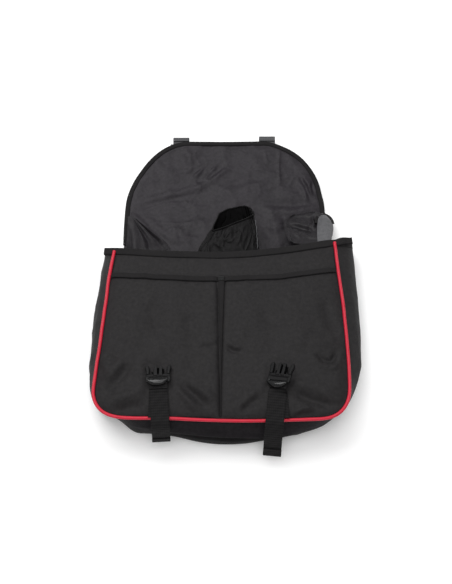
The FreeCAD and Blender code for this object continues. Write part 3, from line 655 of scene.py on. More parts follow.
pin = np.stack([G[:, 0], G[:, 1], np.full(NS, 64.6)], 1)
wob = 0.45 * fbm(ARC / 45, ARC * 0, 61, 3)
pin[:, :2] += NG * (wob + 0.3)[:, None]
pin[:, 2] += 0.55 * fbm(ARC / 60, ARC * 0 + 3, 62, 3)
pin = np.vstack([[(-178.5, 161.5, 65.2), (-179.6, 154.0, 64.9)], pin[4:-3], [(174.7, 172.0, 64.9), (174.3, 177.4, 65.2)]])
pin = resample(pin, 420)
pscale = 1 + 0.035 * fbm(np.linspace(0, 60, 420), np.zeros(420), 63, 2)
pip = sweep("piping_cord", pin, ring(2.55), (0, 0, 1), scale=pscale, uvn=1)
paint(pip, "red"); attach(pip, "root"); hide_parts("piping")
# the piping's flange: a narrow black strip pinched in the seam on its inner side
fl = []
for k, off in enumerate((3.4, 2.6, 1.8, 1.0)):
    fl.append(np.stack([G[:, 0] - NG[:, 0] * off, G[:, 1] - NG[:, 1] * off, np.full(NS, (63.9, 63.6, 63.2, 62.8)[k])], 1))
flange = grid("piping_flange", np.array(fl)[:, 3:-2], thick=0.6)
paint(flange, "tape"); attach(flange, "root")

# =====================================================================
# Gusset: one long strip round the sides and base
# =====================================================================
NV = 34
zrow = np.concatenate([np.linspace(1.2, 5, 4), np.linspace(8, 30, 9), np.linspace(32, 38, 5), np.linspace(41, 57, 9), np.linspace(58, 61.8, 7)])
LEN = ARC[-1]
end_l = sm(75, 0, ARC); end_r = sm(75, 0, LEN - ARC)
mid_base = np.exp(-((G[:, 0] - 10) / 95) ** 4) * (G[:, 1] < -100)


def gusset_off(z):
    a, b = stand_a, stand_b
    u = np.clip((61.8 - z) / 27.8, 0, 1)
    # towards the middle of the base the upper part is flatter and ends in a fold
    up_round = 1 - (1 - u) ** 1.9; up_flat = u ** 0.92
    hi = a * (up_round * (1 - mid_base) + up_flat * mid_base)
    w = np.clip((34.0 - z) / 32.8, 0, 1)
    lo = a + (b - a) * (w ** 1.5) - 3.2 * np.exp(-((w - 0.16) / 0.13) ** 2) * mid_base + 1.2 * np.exp(-((w - 0.6) / 0.3) ** 2) * mid_base
    tuck = -1.6 * np.clip((4.0 - z) / 3.0, 0, 1) ** 2
    return (hi if z >= 34 else lo) + tuck


def gusset_grid(inset=0.0, ztop=None, zbot=None, amp=1.0):
    P = np.zeros((NV, NS, 3))
    for i in range(NV):
        z = float(zrow[i])
        if ztop is not None: z = min(z, ztop)
        if zbot is not None: z = max(z, zbot)
        d = gusset_off(z) - inset
        u = float(sm(0, 12, z) * sm(61, 46, z))
        soft = np.minimum(1.0, np.maximum(stand_a, 0) / 10.0)
        wr = 0.9 * fbm(ARC / 42, ARC * 0 + z / 24, 71, 4) + 1.6 * (folds(ARC / 60 + 0.012 * z, ARC * 0 + z / 60, 72, 3.0) - 0.45)
        d = d + amp * u * wr * soft * (1 - 0.55 * mid_base)
        d = d + amp * mid_base * float(sm(36, 42, z) * sm(60, 52, z)) * (1.1 * (folds(ARC / 22 + 0.05 * z, ARC * 0 + z / 16, 76, 2.2) - 0.4) + 0.5 * fbm(ARC / 9, ARC * 0 + z / 9, 77, 3))
        # a slack fold that runs along the sides, and short drags off the seam
        d = d + amp * 0.9 * np.exp(-((z - 47 - 5 * np.sin(ARC / 60)) / 4.0) ** 2) * soft * (1 - mid_base)
        d = d + amp * 0.5 * np.sin(ARC / 8.0 + 2.5 * fbm(ARC / 40, ARC * 0, 74, 2)) * float(sm(40, 58, z) * sm(61.8, 59, z)) * (0.4 + 0.6 * soft)
        x = G[:, 0] + NG[:, 0] * d; y = G[:, 1] + NG[:, 1] * d
        y = y + end_l * (60.3 - z) * 0.5 + end_r * (60.3 - z) * 0.28
        P[i] = np.stack([x, y, z + amp * 0.7 * u * fbm(ARC / 50 + 4, ARC * 0 + z / 30, 73, 3)], 1)
    return P


PG = gusset_grid()
BOT = PG[0][:, :2]
gus = grid("gusset_cloth", PG, thick=1.1, flip=True)
paint(gus, "gusset"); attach(gus, "root")
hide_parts("side_gusset_left", "bottom_gusset", "side_gusset_right")
PL = gusset_grid(inset=2.4, ztop=59.0, zbot=3.8, amp=0.85)
gl = grid("gusset_lining_cloth", PL, thick=0.4, flip=False)
paint(gl, "lining"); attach(gl, "root"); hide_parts("gusset_lining")

# =====================================================================
# Back panel that runs on into the flap, and the lining above it
# =====================================================================
D_OUT = [(-172.0, 205.0), (-172.3, 240.0), (-171.0, 281.0), (-166.8, 304.5), (-157.6, 328.0), (-144.3, 350.3), (-130.0, 369.4), (-113.2, 385.2), (-94.0, 396.4), (-79.6, 400.8), (-64.0, 402.6),
         (0.0, 402.0), (61.0, 403.0), (74.0, 401.8), (86.8, 398.2), (103.4, 391.0), (119.8, 381.0), (136.0, 366.0), (150.4, 345.0), (159.4, 323.4), (164.2, 300.5), (167.4, 281.0), (168.5, 240.0), (168.5, 205.0)]
DO = spline(D_OUT, 500)


def flap_x(y, side, inset=0.0):
    T = np.gradient(DO, axis=0); T /= np.linalg.norm(T, axis=1)[:, None]
    Nn = np.stack([T[:, 1], -T[:, 0]], 1)
    H = DO + Nn * inset
    k = int(np.argmax(DO[:, 1] - np.abs(DO[:, 0] + 2) * 0.02))
    part = H[:k] if side < 0 else H[k:][::-1]
    yv = np.maximum.accumulate(part[:, 1])
    return np.interp(y, yv, part[:, 0])


def table_z(y):
    """Height of the flap's outer face: flat on the table, then rising over the buckle sockets."""
    y = np.asarray(y, float)
    return np.where(y > FOLD_Y - 6, 0.5 * (y - FOLD_Y + 6) * 0.0, 0.0) + np.where(y > FOLD_Y, (y - FOLD_Y) * math.tan(TILT), 0.0) * 1.0


def soft_table(y):
    y = np.asarray(y, float)
    k = 14.0
    return k * 0.105 * np.log1p(np.exp((y - FOLD_Y) / k)) - 0.0


def rows_to(ya, yb, n):
    return np.linspace(ya, yb, n)


def flap_rows(ylist, inset, nc):
    X = np.zeros((len(ylist), nc)); Y = np.zeros_like(X)
    s = np.linspace(0, 1, nc); s = 0.35 * (0.5 - 0.5 * np.cos(math.pi * s)) + 0.65 * s
    for i, y in enumerate(ylist):
        a, b = flap_x(y, -1, inset), flap_x(y, 1, inset)
        X[i] = a + (b - a) * s; Y[i] = y
    return X, Y


def lining_z(X, Y):
    z = 2.4 + soft_table(Y)
    d = np.minimum(np.minimum(X - flap_x(Y, -1, 4.0), flap_x(Y, 1, 4.0) - X), 402 - Y)
    body = sm(0, 22, d)
    z = z + 1.0 * sm(0, 14, d)
    w = 2.3 * fbm(X / 60, Y / 60, 101, 3) + 2.0 * (folds(X / 46 + 0.3, Y / 60, 102, 2.6) - 0.3) + 0.55 * fbm(X / 14, Y / 14, 103, 3) + 0.8 * (folds(X / 24 + 0.7, Y / 20, 105, 2.6) - 0.4)
    z = z + body * w
    for pts, wd, ht in FL:
        z = z + crease(X, Y, pts, wd * 0.9, ht * 0.85) * sm(-2, 12, d)
    # puckers along the bound edge
    z = z + 0.45 * np.sin((X * 0.9 + Y * 1.1) / 5.0 + 3 * fbm(X / 20, Y / 20, 104, 2)) * np.exp(-d / 7.0) * sm(0, 3, d)
    return np.maximum(z, 1.9 + soft_table(Y))


FL = [([(-75, 392), (-63, 371), (-66, 350)], 9, 3.4), ([(-88, 388), (-82, 366), (-84, 345)], 9, -1.2), ([(-52, 318), (-36, 344), (-24, 362)], 6, -2.6), ([(-36, 330), (-14, 348), (-3, 358)], 5, -2.4), ([(-68, 335), (-50, 348), (-38, 358)], 5, -2.2),
      ([(-44, 326), (-26, 344), (-14, 360)], 4.5, 2.6), ([(-26, 326), (-8, 342), (6, 352)], 5, 2.2), ([(-60, 330), (-44, 346), (-31, 360)], 4, 2.0),
      ([(-161, 280), (-113, 297), (-50, 312), (-2, 342)], 8, 3.0), ([(-157, 262), (-113, 284), (-62, 290)], 7, 2.0), ([(-150, 274), (-105, 288), (-50, 298)], 6, -1.8),
      ([(-167, 268), (-137, 241), (-106, 203)], 6, 4.0), ([(-152, 267), (-111, 232), (-69, 199)], 9, 2.4), ([(-150, 252), (-118, 226), (-84, 200)], 9, -1.4), ([(-92, 240), (-84, 220), (-80, 200)], 6, 2.2), ([(84, 262), (96, 236), (110, 214)], 8, 3.0), ([(60, 258), (66, 234), (78, 212)], 9, -2.2), ([(-112, 263), (-78, 230), (-57, 195)], 9, 2.0),
      ([(133, 335), (141, 318), (148, 293)], 4.5, 3.0), ([(149, 338), (143, 314), (154, 290)], 4.0, 2.8), ([(121, 331), (133, 310), (140, 286)], 5.0, 2.4), ([(126, 338), (138, 314), (145, 288)], 4.0, -2.6), ([(147, 330), (148, 312), (150, 292)], 3.6, -2.6),
      ([(67, 270), (109, 266), (157, 277)], 8, 3.2), ([(84, 291), (118, 299), (138, 279)], 8, 2.0), ([(70, 282), (112, 280), (150, 286)], 7, -2.2), ([(-140, 333), (-105, 329), (-74, 327)], 8, 1.6), ([(-146, 320), (-110, 318)], 7, -1.2),
      ([(-45, 394), (-21, 395)], 4, -1.6), ([(-2, 391), (33, 393)], 4, -1.3), ([(-19, 301), (33, 312), (85, 330)], 12, 1.8), ([(-10, 318), (40, 326), (84, 344)], 10, -1.2), ([(72, 284), (80, 249), (86, 214)], 7, 2.6), ([(92, 280), (98, 248), (100, 216)], 7, -2.0),
      ([(40, 380), (60, 350), (100, 330)], 9, 1.5), ([(96, 372), (112, 352), (120, 330)], 8, -1.4), ([(-125, 366), (-110, 350), (-100, 330)], 8, 1.3)]

MID = 242.0
NCF = 190
ya = np.concatenate([np.linspace(150, HINGE_Y - 8, 12), np.linspace(HINGE_Y - 5, MID, 26)])
yb = np.concatenate([np.linspace(MID, 384, 78), 384 + 18.2 * np.sin(np.linspace(0.06, math.pi / 2, 20))])


def body_x(y, side, inset):
    """Edge of the back of the bag on the table; it narrows to the flap at the hinge."""
    y = float(y)
    top = 183.0 if side < 0 else 186.0
    a = float(outline_x(BOT, min(y, top), side))
    if y < -100:                                        # keep the sheet off its own rounded base
        inset_ = inset
        a = float(outline_x(BOT, max(y, BOT[:, 1].min() + 0.05), side))
    b = float(flap_x(206.0, side, 0.0))
    t = float(sm(top - 3, top + 15, y))
    return a * (1 - t) + b * t


def back_sheet(name, ylist, inset, zfun, thick, flip, mat):
    nc = NCF
    s = np.linspace(0, 1, nc); s = 0.35 * (0.5 - 0.5 * np.cos(math.pi * s)) + 0.65 * s
    X = np.zeros((len(ylist), nc)); Y = np.zeros_like(X)
    for i, y in enumerate(ylist):
        if y > 206:
            a, b = flap_x(y, -1, inset), flap_x(y, 1, inset)
        else:
            a, b = body_x(y, -1, inset) + inset, body_x(y, 1, inset) - inset
        X[i] = a + (b - a) * s; Y[i] = y
    Z = zfun(X, Y)
    ob = grid(name, np.stack([X, Y, Z], 2), thick=thick, flip=flip, sharp=60)
    return ob


def outer_z(X, Y):
    z = 1.1 + soft_table(Y) + 0.35 * (1 + fbm(X / 80, Y / 80, 111, 3))
    return z


# outer cloth: back of the bag up to the middle of the spine
LOWY = float(BOT[:, 1].min())
yl = np.concatenate([LOWY + 1.0 + 60 * (1 - np.cos(np.linspace(0.05, math.pi / 2, 34))), np.linspace(-74, 180, 60), np.linspace(183, MID, 30)])
ncb = NCF
s = np.linspace(0, 1, ncb); s = 0.35 * (0.5 - 0.5 * np.cos(math.pi * s)) + 0.65 * s
X = np.zeros((len(yl), ncb)); Y = np.zeros_like(X)
for i, y in enumerate(yl):
    if y > 206: a, b = flap_x(y, -1, 1.0), flap_x(y, 1, 1.0)
    else: a, b = body_x(y - 0.6, -1, 1.0) + 0.8, body_x(y - 0.6, 1, 1.0) - 0.8
    X[i] = a + (b - a) * s; Y[i] = y
Zb = 1.15 + soft_table(Y) + 0.0 * X
edge = np.minimum(np.minimum(X - X[:, :1], X[:, -1:] - X), Y - LOWY)
Zb = Zb + 0.7 * np.exp(-edge / 3.0) * (Y < 180)
back = grid("back_panel_cloth", np.stack([X, Y, Zb], 2), thick=1.1)
paint(back, "shell")
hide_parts("back_panel", "flap_spine_outer")
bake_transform(back)

fo = back_sheet("flap_outer_cloth", yb, 1.0, lambda X, Y: 1.15 + soft_table(Y) + 0 * X, 1.1, False, "shell")
paint(fo, "shell"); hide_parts("flap_outer")
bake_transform(fo)

# lining: inside the bag's back, then the flap
yin = np.concatenate([LOWY + 4.5 + 56 * (1 - np.cos(np.linspace(0.05, math.pi / 2, 26))), np.linspace(-74, 180, 50), np.linspace(184, MID, 32)])
X = np.zeros((len(yin), NCF)); Y = np.zeros_like(X)
for i, y in enumerate(yin):
    if y > 206: a, b = flap_x(y, -1, 3.2), flap_x(y, 1, 3.2)
    else: a, b = body_x(y - 3.5, -1, 3.2) + 3.2, body_x(y - 3.5, 1, 3.2) - 3.2
    X[i] = a + (b - a) * s; Y[i] = y
Zl = lining_z(X, Y)
inb = 4.2 + 0.8 * fbm(X / 60, Y / 60, 121, 3) + 1.2 * (folds(X / 50, Y / 50, 122, 3) - 0.3) + 0.4
t = sm(186, 204, Y)
Zl = Zl * t + inb * (1 - t)
lb = grid("back_lining_cloth", np.stack([X, Y, Zl], 2), thick=0.5)
paint(lb, "lining"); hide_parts("back_lining", "back_interlining", "flap_spine_lining")
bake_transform(lb)

ll = back_sheet("flap_lining_cloth", yb, 3.2, lining_z, 0.5, False, "lining")
paint(ll, "lining"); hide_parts("flap_lining")
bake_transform(ll)

# binding round the flap
T = np.gradient(DO, axis=0); T /= np.linalg.norm(T, axis=1)[:, None]
Nin = np.stack([T[:, 1], -T[:, 0]], 1)
arcD = np.concatenate([[0], np.cumsum(np.linalg.norm(np.diff(DO, axis=0), axis=1))])
path = DO + Nin * 3.9
zb = 2.5 + soft_table(path[:, 1]) + 0.35 * fbm(arcD / 40, arcD * 0, 131, 2)
bp = np.concatenate([path, zb[:, None]], 1)
c1 = int(np.argmax(bp[:, 1] > MID)); c2 = len(bp) - int(np.argmax(bp[::-1, 1] > MID))
prof = tape_profile(8.6, 3.4, 9, 0.35)
fb = sweep("flap_binding_tape", resample(bp[c1 - 1:c2 + 1], 420), prof, (0, 0, 1))
paint(fb, "tape"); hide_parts("flap_binding")
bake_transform(fb)
s1 = sweep("sb1", resample(bp[:c1 + 1], 40), prof, (0, 0, 1)); s2 = sweep("sb2", resample(bp[c2 - 1:], 40), prof, (0, 0, 1))
sb = join("flap_spine_binding_tapes", [s1, s2])
sb.data.set_sharp_from_angle(angle=math.radians(50))
paint(sb, "tape"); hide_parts("flap_spine_binding")
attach(sb, "flap_spine")

# =====================================================================
# Mouth bindings
# =====================================================================
xs = np.linspace(-195.5, 204.0, 200)
ry = rim_y(xs) + 5.2; rz = rim_z(xs) + 0.6
wr = sm(150, 195, xs)
ry = ry + 0.5 * fbm(xs / 40, xs * 0, 141, 2) + 1.4 * wr * np.sin(xs / 4.2)
rz = rz + 0.5 * fbm(xs / 35, xs * 0 + 2, 142, 3) + 1.5 * wr * np.sin(xs / 3.6 + 1)
rb = sweep("mouth_binding_front_tape", np.stack([xs, ry, rz], 1), tape_profile(12.6, 3.6, 9, 0.25), (0, 0, 1))
paint(rb, "tape"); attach(rb, "root"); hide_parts("mouth_binding_front")

for idx, nm, k, kk in ((0, "left", 0.5, -1), (NS - 1, "right", 0.28, 1)):
    pts = PG[:, idx, :][::-1]
    col = PG[:, idx, :].copy(); nb = PG[:, idx + (3 if idx == 0 else -3), :]
    d = col - nb; d /= np.linalg.norm(d, axis=1)[:, None]
    base = col + d * 3.4
    base = base[(col[:, 2] > 4.0) & (col[:, 2] < 60.5)]
    dd = d[(col[:, 2] > 4.0) & (col[:, 2] < 60.5)]
    pth = resample(base, 60)
    side = np.stack([np.interp(np.linspace(0, 1, 60), np.linspace(0, 1, len(dd)), dd[:, q]) for q in range(3)], 1)
    Tt = np.gradient(pth, axis=0); up = np.cross(Tt, side)
    ob = sweep("mouth_binding_%s_tape" % nm, pth, tape_profile(9.6, 3.4, 9, 0.2), up / np.linalg.norm(up, axis=1)[:, None])
    paint(ob, "tape"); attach(ob, "root"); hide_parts("mouth_binding_%s" % nm)

# front lining behind the front panel
yy = np.linspace(BASE_Y + 6, 150, 60)
X = np.zeros((60, 90)); Y = np.zeros_like(X)
for i, y in enumerate(yy):
    a, b = seam_x(y, -1, 4.2), seam_x(y, 1, 4.2)
    X[i] = np.linspace(a, b, 90); Y[i] = y + (rim_y(X[i]) - 153) * ((y - yy[0]) / (yy[-1] - yy[0])) ** 2
Zf = 58.6 - 1.4 - 1.4 * fbm(X / 60, Y / 60, 151, 3) * sm(0, 1, 1) - 0.6 * np.clip(folds(X / 45, Y / 45, 152, 3), 0, 1)
flc = grid("front_lining_cloth", np.stack([X, Y, Zf], 2), thick=0.5, flip=True)
paint(flc, "lining"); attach(flc, "root"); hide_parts("front_lining", "front_interlining")

# =====================================================================
# Webbing and buckles
# =====================================================================
def place(P, xc, deg, piv=0.0):
    a = math.radians(deg); P = np.asarray(P, float)
    u, v, z = P[..., 0], P[..., 1], P[..., 2]
    return np.stack([xc + u * math.cos(a) - v * math.sin(a), -118.0 + u * math.sin(a) + v * math.cos(a), z], -1)


STR = {"left": (-98.0, 3.3, [(-7.5, 70.2), (-14.0, 61.0), (-18.6, 46.0), (-22.0, 29.5)], 0.0, -3.5),
       "right": (73.0, -5.8, [(-7.5, 70.0), (-17.0, 60.0), (-29.0, 41.5), (-40.6, 17.6)], 8.0, 7.0)}
# how each plug lies: pitch, roll and yaw in degrees about a point in its own frame
LIE = {"left": (-9.0, -3.0, -1.5), "right": (-2.0, -25.0, -10.0)}
LIFT = {"left": 0.6, "right": 3.4}
PIV = np.array([0.0, 56.0, 75.2])


def lie(P, nm, w=1.0):
    """Turns points of the strap's own frame the way the plug lies; w blends the turn in."""
    p, r, y = [math.radians(a) for a in LIE[nm]]
    P = np.asarray(P, float) - PIV
    Rx = np.array([[1, 0, 0], [0, math.cos(p), -math.sin(p)], [0, math.sin(p), math.cos(p)]])
    Ry = np.array([[math.cos(r), 0, math.sin(r)], [0, 1, 0], [-math.sin(r), 0, math.cos(r)]])
    Rz = np.array([[math.cos(y), -math.sin(y), 0], [math.sin(y), math.cos(y), 0], [0, 0, 1]])
    Q = P @ (Rz @ Ry @ Rx).T
    w = np.asarray(w, float)[..., None] if np.ndim(w) else w
    return P * (1 - w) + Q * w + PIV + np.array([0.0, 0.0, LIFT[nm]]) * w


def webbing(name, centre, u_dir_w, nm, w, t, side_sag=None):
    """A flat tape given by its centre line in the strap's frame; w says how far it follows the plug's lie."""
    xc, deg = STR[nm][:2]
    n = len(centre); nb = 13
    T_ = np.gradient(centre, axis=0); T_ /= np.linalg.norm(T_, axis=1)[:, None]
    N_ = np.cross(np.array([[1.0, 0, 0]]), T_); N_ /= np.linalg.norm(N_, axis=1)[:, None]
    us = np.linspace(-w / 2 + t / 2, w / 2 - t / 2, nb)
    ring_uv = [(u, t / 2) for u in us] + [(w / 2 - t / 2 + t / 2 * math.cos(a), t / 2 * math.sin(a)) for a in (0.8, 0, -0.8)] + [(u, -t / 2) for u in us[::-1]] + [(-w / 2 + t / 2 - t / 2 * math.cos(a), t / 2 * math.sin(a)) for a in (-0.8, 0, 0.8)]
    ring_uv = np.array(ring_uv); m = len(ring_uv)
    V = centre[:, None, :] + np.array([1.0, 0, 0])[None, None, :] * ring_uv[None, :, 0:1] + N_[:, None, :] * ring_uv[None, :, 1:2]
    if side_sag is not None:
        V = V + N_[:, None, :] * (side_sag[:, None] * (2 * ring_uv[None, :, 0] / w) ** 2)[..., None]
    V = lie(V, nm, np.repeat(u_dir_w[:, None], m, 1)[..., 0] [:, None] * np.ones((1, m)) if False else np.repeat(u_dir_w[:, None], m, 1))
    ln = np.concatenate([[0], np.cumsum(np.linalg.norm(np.diff(centre, axis=0), axis=1))])
    uv = np.stack([np.repeat(ring_uv[None, :, 0], n, 0), np.repeat(ln[:, None], m, 1)], axis=2)
    V = place(V, xc, deg)
    faces = []
    for i in range(n - 1):
        for j in range(m):
            k = (j + 1) % m
            faces.append((i * m + j, i * m + k, (i + 1) * m + k, (i + 1) * m + j))
    faces.append(tuple(range(m))[::-1]); faces.append(tuple((n - 1) * m + j for j in range(m)))
    ob = new_mesh(name, V.reshape(-1, 3), faces, uv.reshape(-1, 2))
    bm = bmesh.new(); bm.from_mesh(ob.data); bmesh.ops.recalc_face_normals(bm, faces=bm.faces); bm.to_mesh(ob.data); bm.free()
    ob.data.set_sharp_from_angle(angle=math.radians(50))
    return ob


WT = 1.5


def ribbon(name, path_vz, xc, deg, n, w=30.0, lean=0.0, twist=0.0):
    pv = spline(path_vz, n)
    u = np.linspace(0, 1, n)
    P = place(np.stack([lean * (1 - u) ** 1.0 * np.ones(n), pv[:, 0], pv[:, 1]], 1), xc, deg)
    a = math.radians(deg)
    side = np.array([math.cos(a), math.sin(a), 0.0])
    Tt = np.gradient(P, axis=0); up = np.cross(side[None, :], Tt)
    up /= np.linalg.norm(up, axis=1)[:, None]
    return P, up


SW = 27.2
for nm, (xc, deg, drop, _, lean) in STR.items():
    under = [(2.0, 69.2), (14, 69.7), (30, 69.6), (44, 69.5), (53.0, 69.6), (58.4, 70.6), (60.2, 72.6), (59.2, 74.4), (56.4, 74.9), (53.6, 74.3), (51.8, 73.2), (50.0, 72.4), (47.4, 72.1), (44.6, 72.0)]
    pv = spline(under, 160)
    first = (np.arange(160) < 84)
    la = lean * np.clip(1 - (pv[:, 0] - 2) / 46.0, 0, 1) * first
    wv = np.where(first, sm(34, 52, pv[:, 0]), sm(36, 47, pv[:, 0]))
    ob = webbing(nm + "_strap_webbing", np.stack([la, pv[:, 0], pv[:, 1]], 1), wv, nm, SW, WT)
    paint(ob, "web"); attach(ob, "strap_" + nm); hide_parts(nm + "_strap")
    # tail, with its end turned under and sewn
    tail = [(43.1, 72.2), (38.0, 72.1), (30.0, 72.0), (14, 71.9), (2.0, 71.6)] + drop
    pv = spline(tail, 170)
    k = np.arange(170)
    wave = 0.30 * np.sin(k / 15.0) * sm(0, 40, k)
    bow = (0.9 if nm == "left" else -0.9) * np.sin(k / 50.0)
    cen = np.stack([bow, pv[:, 0], pv[:, 1] + wave], 1)
    sag = 0.5 * np.sin(k / 21.0 + 1)
    ob1 = webbing("t1", cen, sm(36, 47, pv[:, 0]), nm, SW, WT, sag)
    k0 = 170 - (22 if nm == "right" else 16)
    T_ = np.gradient(cen, axis=0); T_ /= np.linalg.norm(T_, axis=1)[:, None]
    N_ = np.cross(np.array([[1.0, 0, 0]]), T_)
    N_ /= np.linalg.norm(N_, axis=1)[:, None]
    flip_ = 1.0 if N_[80, 2] > 0 else -1.0
    fold = cen[k0:] + N_[k0:] * (flip_ * (WT + 0.15))
    last = cen[-1] + T_[-1] * 1.3 + N_[-1] * flip_ * WT * 0.5
    ob2 = webbing("t2", resample(np.vstack([fold, (cen[-1] + T_[-1] * 0.9 + N_[-1] * flip_ * WT * 1.0)[None], last[None], (cen[-1] + T_[-1] * 0.9)[None]]), 30), np.zeros(30), nm, SW + 0.5, WT * 0.9)
    ob = join(nm + "_tail_webbing", [ob1, ob2]); ob.data.set_sharp_from_angle(angle=math.radians(50))
    paint(ob, "web"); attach(ob, "tail_" + nm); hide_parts(nm + "_strap_tail")


def chunk(sections):
    """Closed loft through sections, each a list of points; returns verts and faces."""
    V, F = [], []
    n = len(sections[0])
    for s_ in sections: V += [tuple(p) for p in s_]
    for i in range(len(sections) - 1):
        for j in range(n):
            k = (j + 1) % n
            F.append((i * n + j, i * n + k, (i + 1) * n + k, (i + 1) * n + j))
    F.append(tuple(range(n))[::-1]); F.append(tuple((len(sections) - 1) * n + j for j in range(n)))
    return V, F


def rod(path, radii, n=12, up=(0, 0, 1)):
    path = np.asarray(path, float); T_, N_, B_ = frames(path, up)
    secs = []
    for i, p in enumerate(path):
        rb_, rn_ = radii[i] if hasattr(radii[i], "__len__") else (radii[i], radii[i])
        secs.append([p + B_[i] * rb_ * math.cos(a) + N_[i] * rn_ * math.sin(a) for a in np.linspace(0, 2 * math.pi, n + 1)[:-1]])
    return chunk(secs)


def slab(outline, z0, z1):
    a = [(x, y, z0) for x, y in outline]; b = [(x, y, z1) for x, y in outline]
    return chunk([a, b])


def moulded(name, chunks, voxel=0.42, smooth=3, cut=None, faces=9000):
    V, F = [], []
    for v, f in chunks:
        k = len(V); V += v; F += [tuple(i + k for i in q) for q in f]
    ob = new_mesh(name, V, F)
    bm = bmesh.new(); bm.from_mesh(ob.data); bmesh.ops.recalc_face_normals(bm, faces=bm.faces); bm.to_mesh(ob.data); bm.free()
    m = ob.modifiers.new("r", "REMESH"); m.mode = "VOXEL"; m.voxel_size = voxel * MM; m.use_smooth_shade = True
    m = ob.modifiers.new("s", "SMOOTH"); m.iterations = smooth; m.factor = 0.5
    settle(ob, 0)
    n = len(ob.data.polygons)
    if n > faces:
        m = ob.modifiers.new("d", "DECIMATE"); m.ratio = faces / n
        settle(ob, 0)
    return ob


def to_world(ob, xc, deg, nm=None):
    co = np.zeros(len(ob.data.vertices) * 3); ob.data.vertices.foreach_get("co", co)
    Q = co.reshape(-1, 3) / MM
    if nm: Q = lie(Q, nm, 1.0)
    P = place(Q, xc, deg) * MM
    ob.data.vertices.foreach_set("co", P.reshape(-1).astype(np.float32)); ob.data.update()
    return ob


def arc_pts(x0, x1, f, n=21):
    return [f(x) for x in np.linspace(x0, x1, n)]


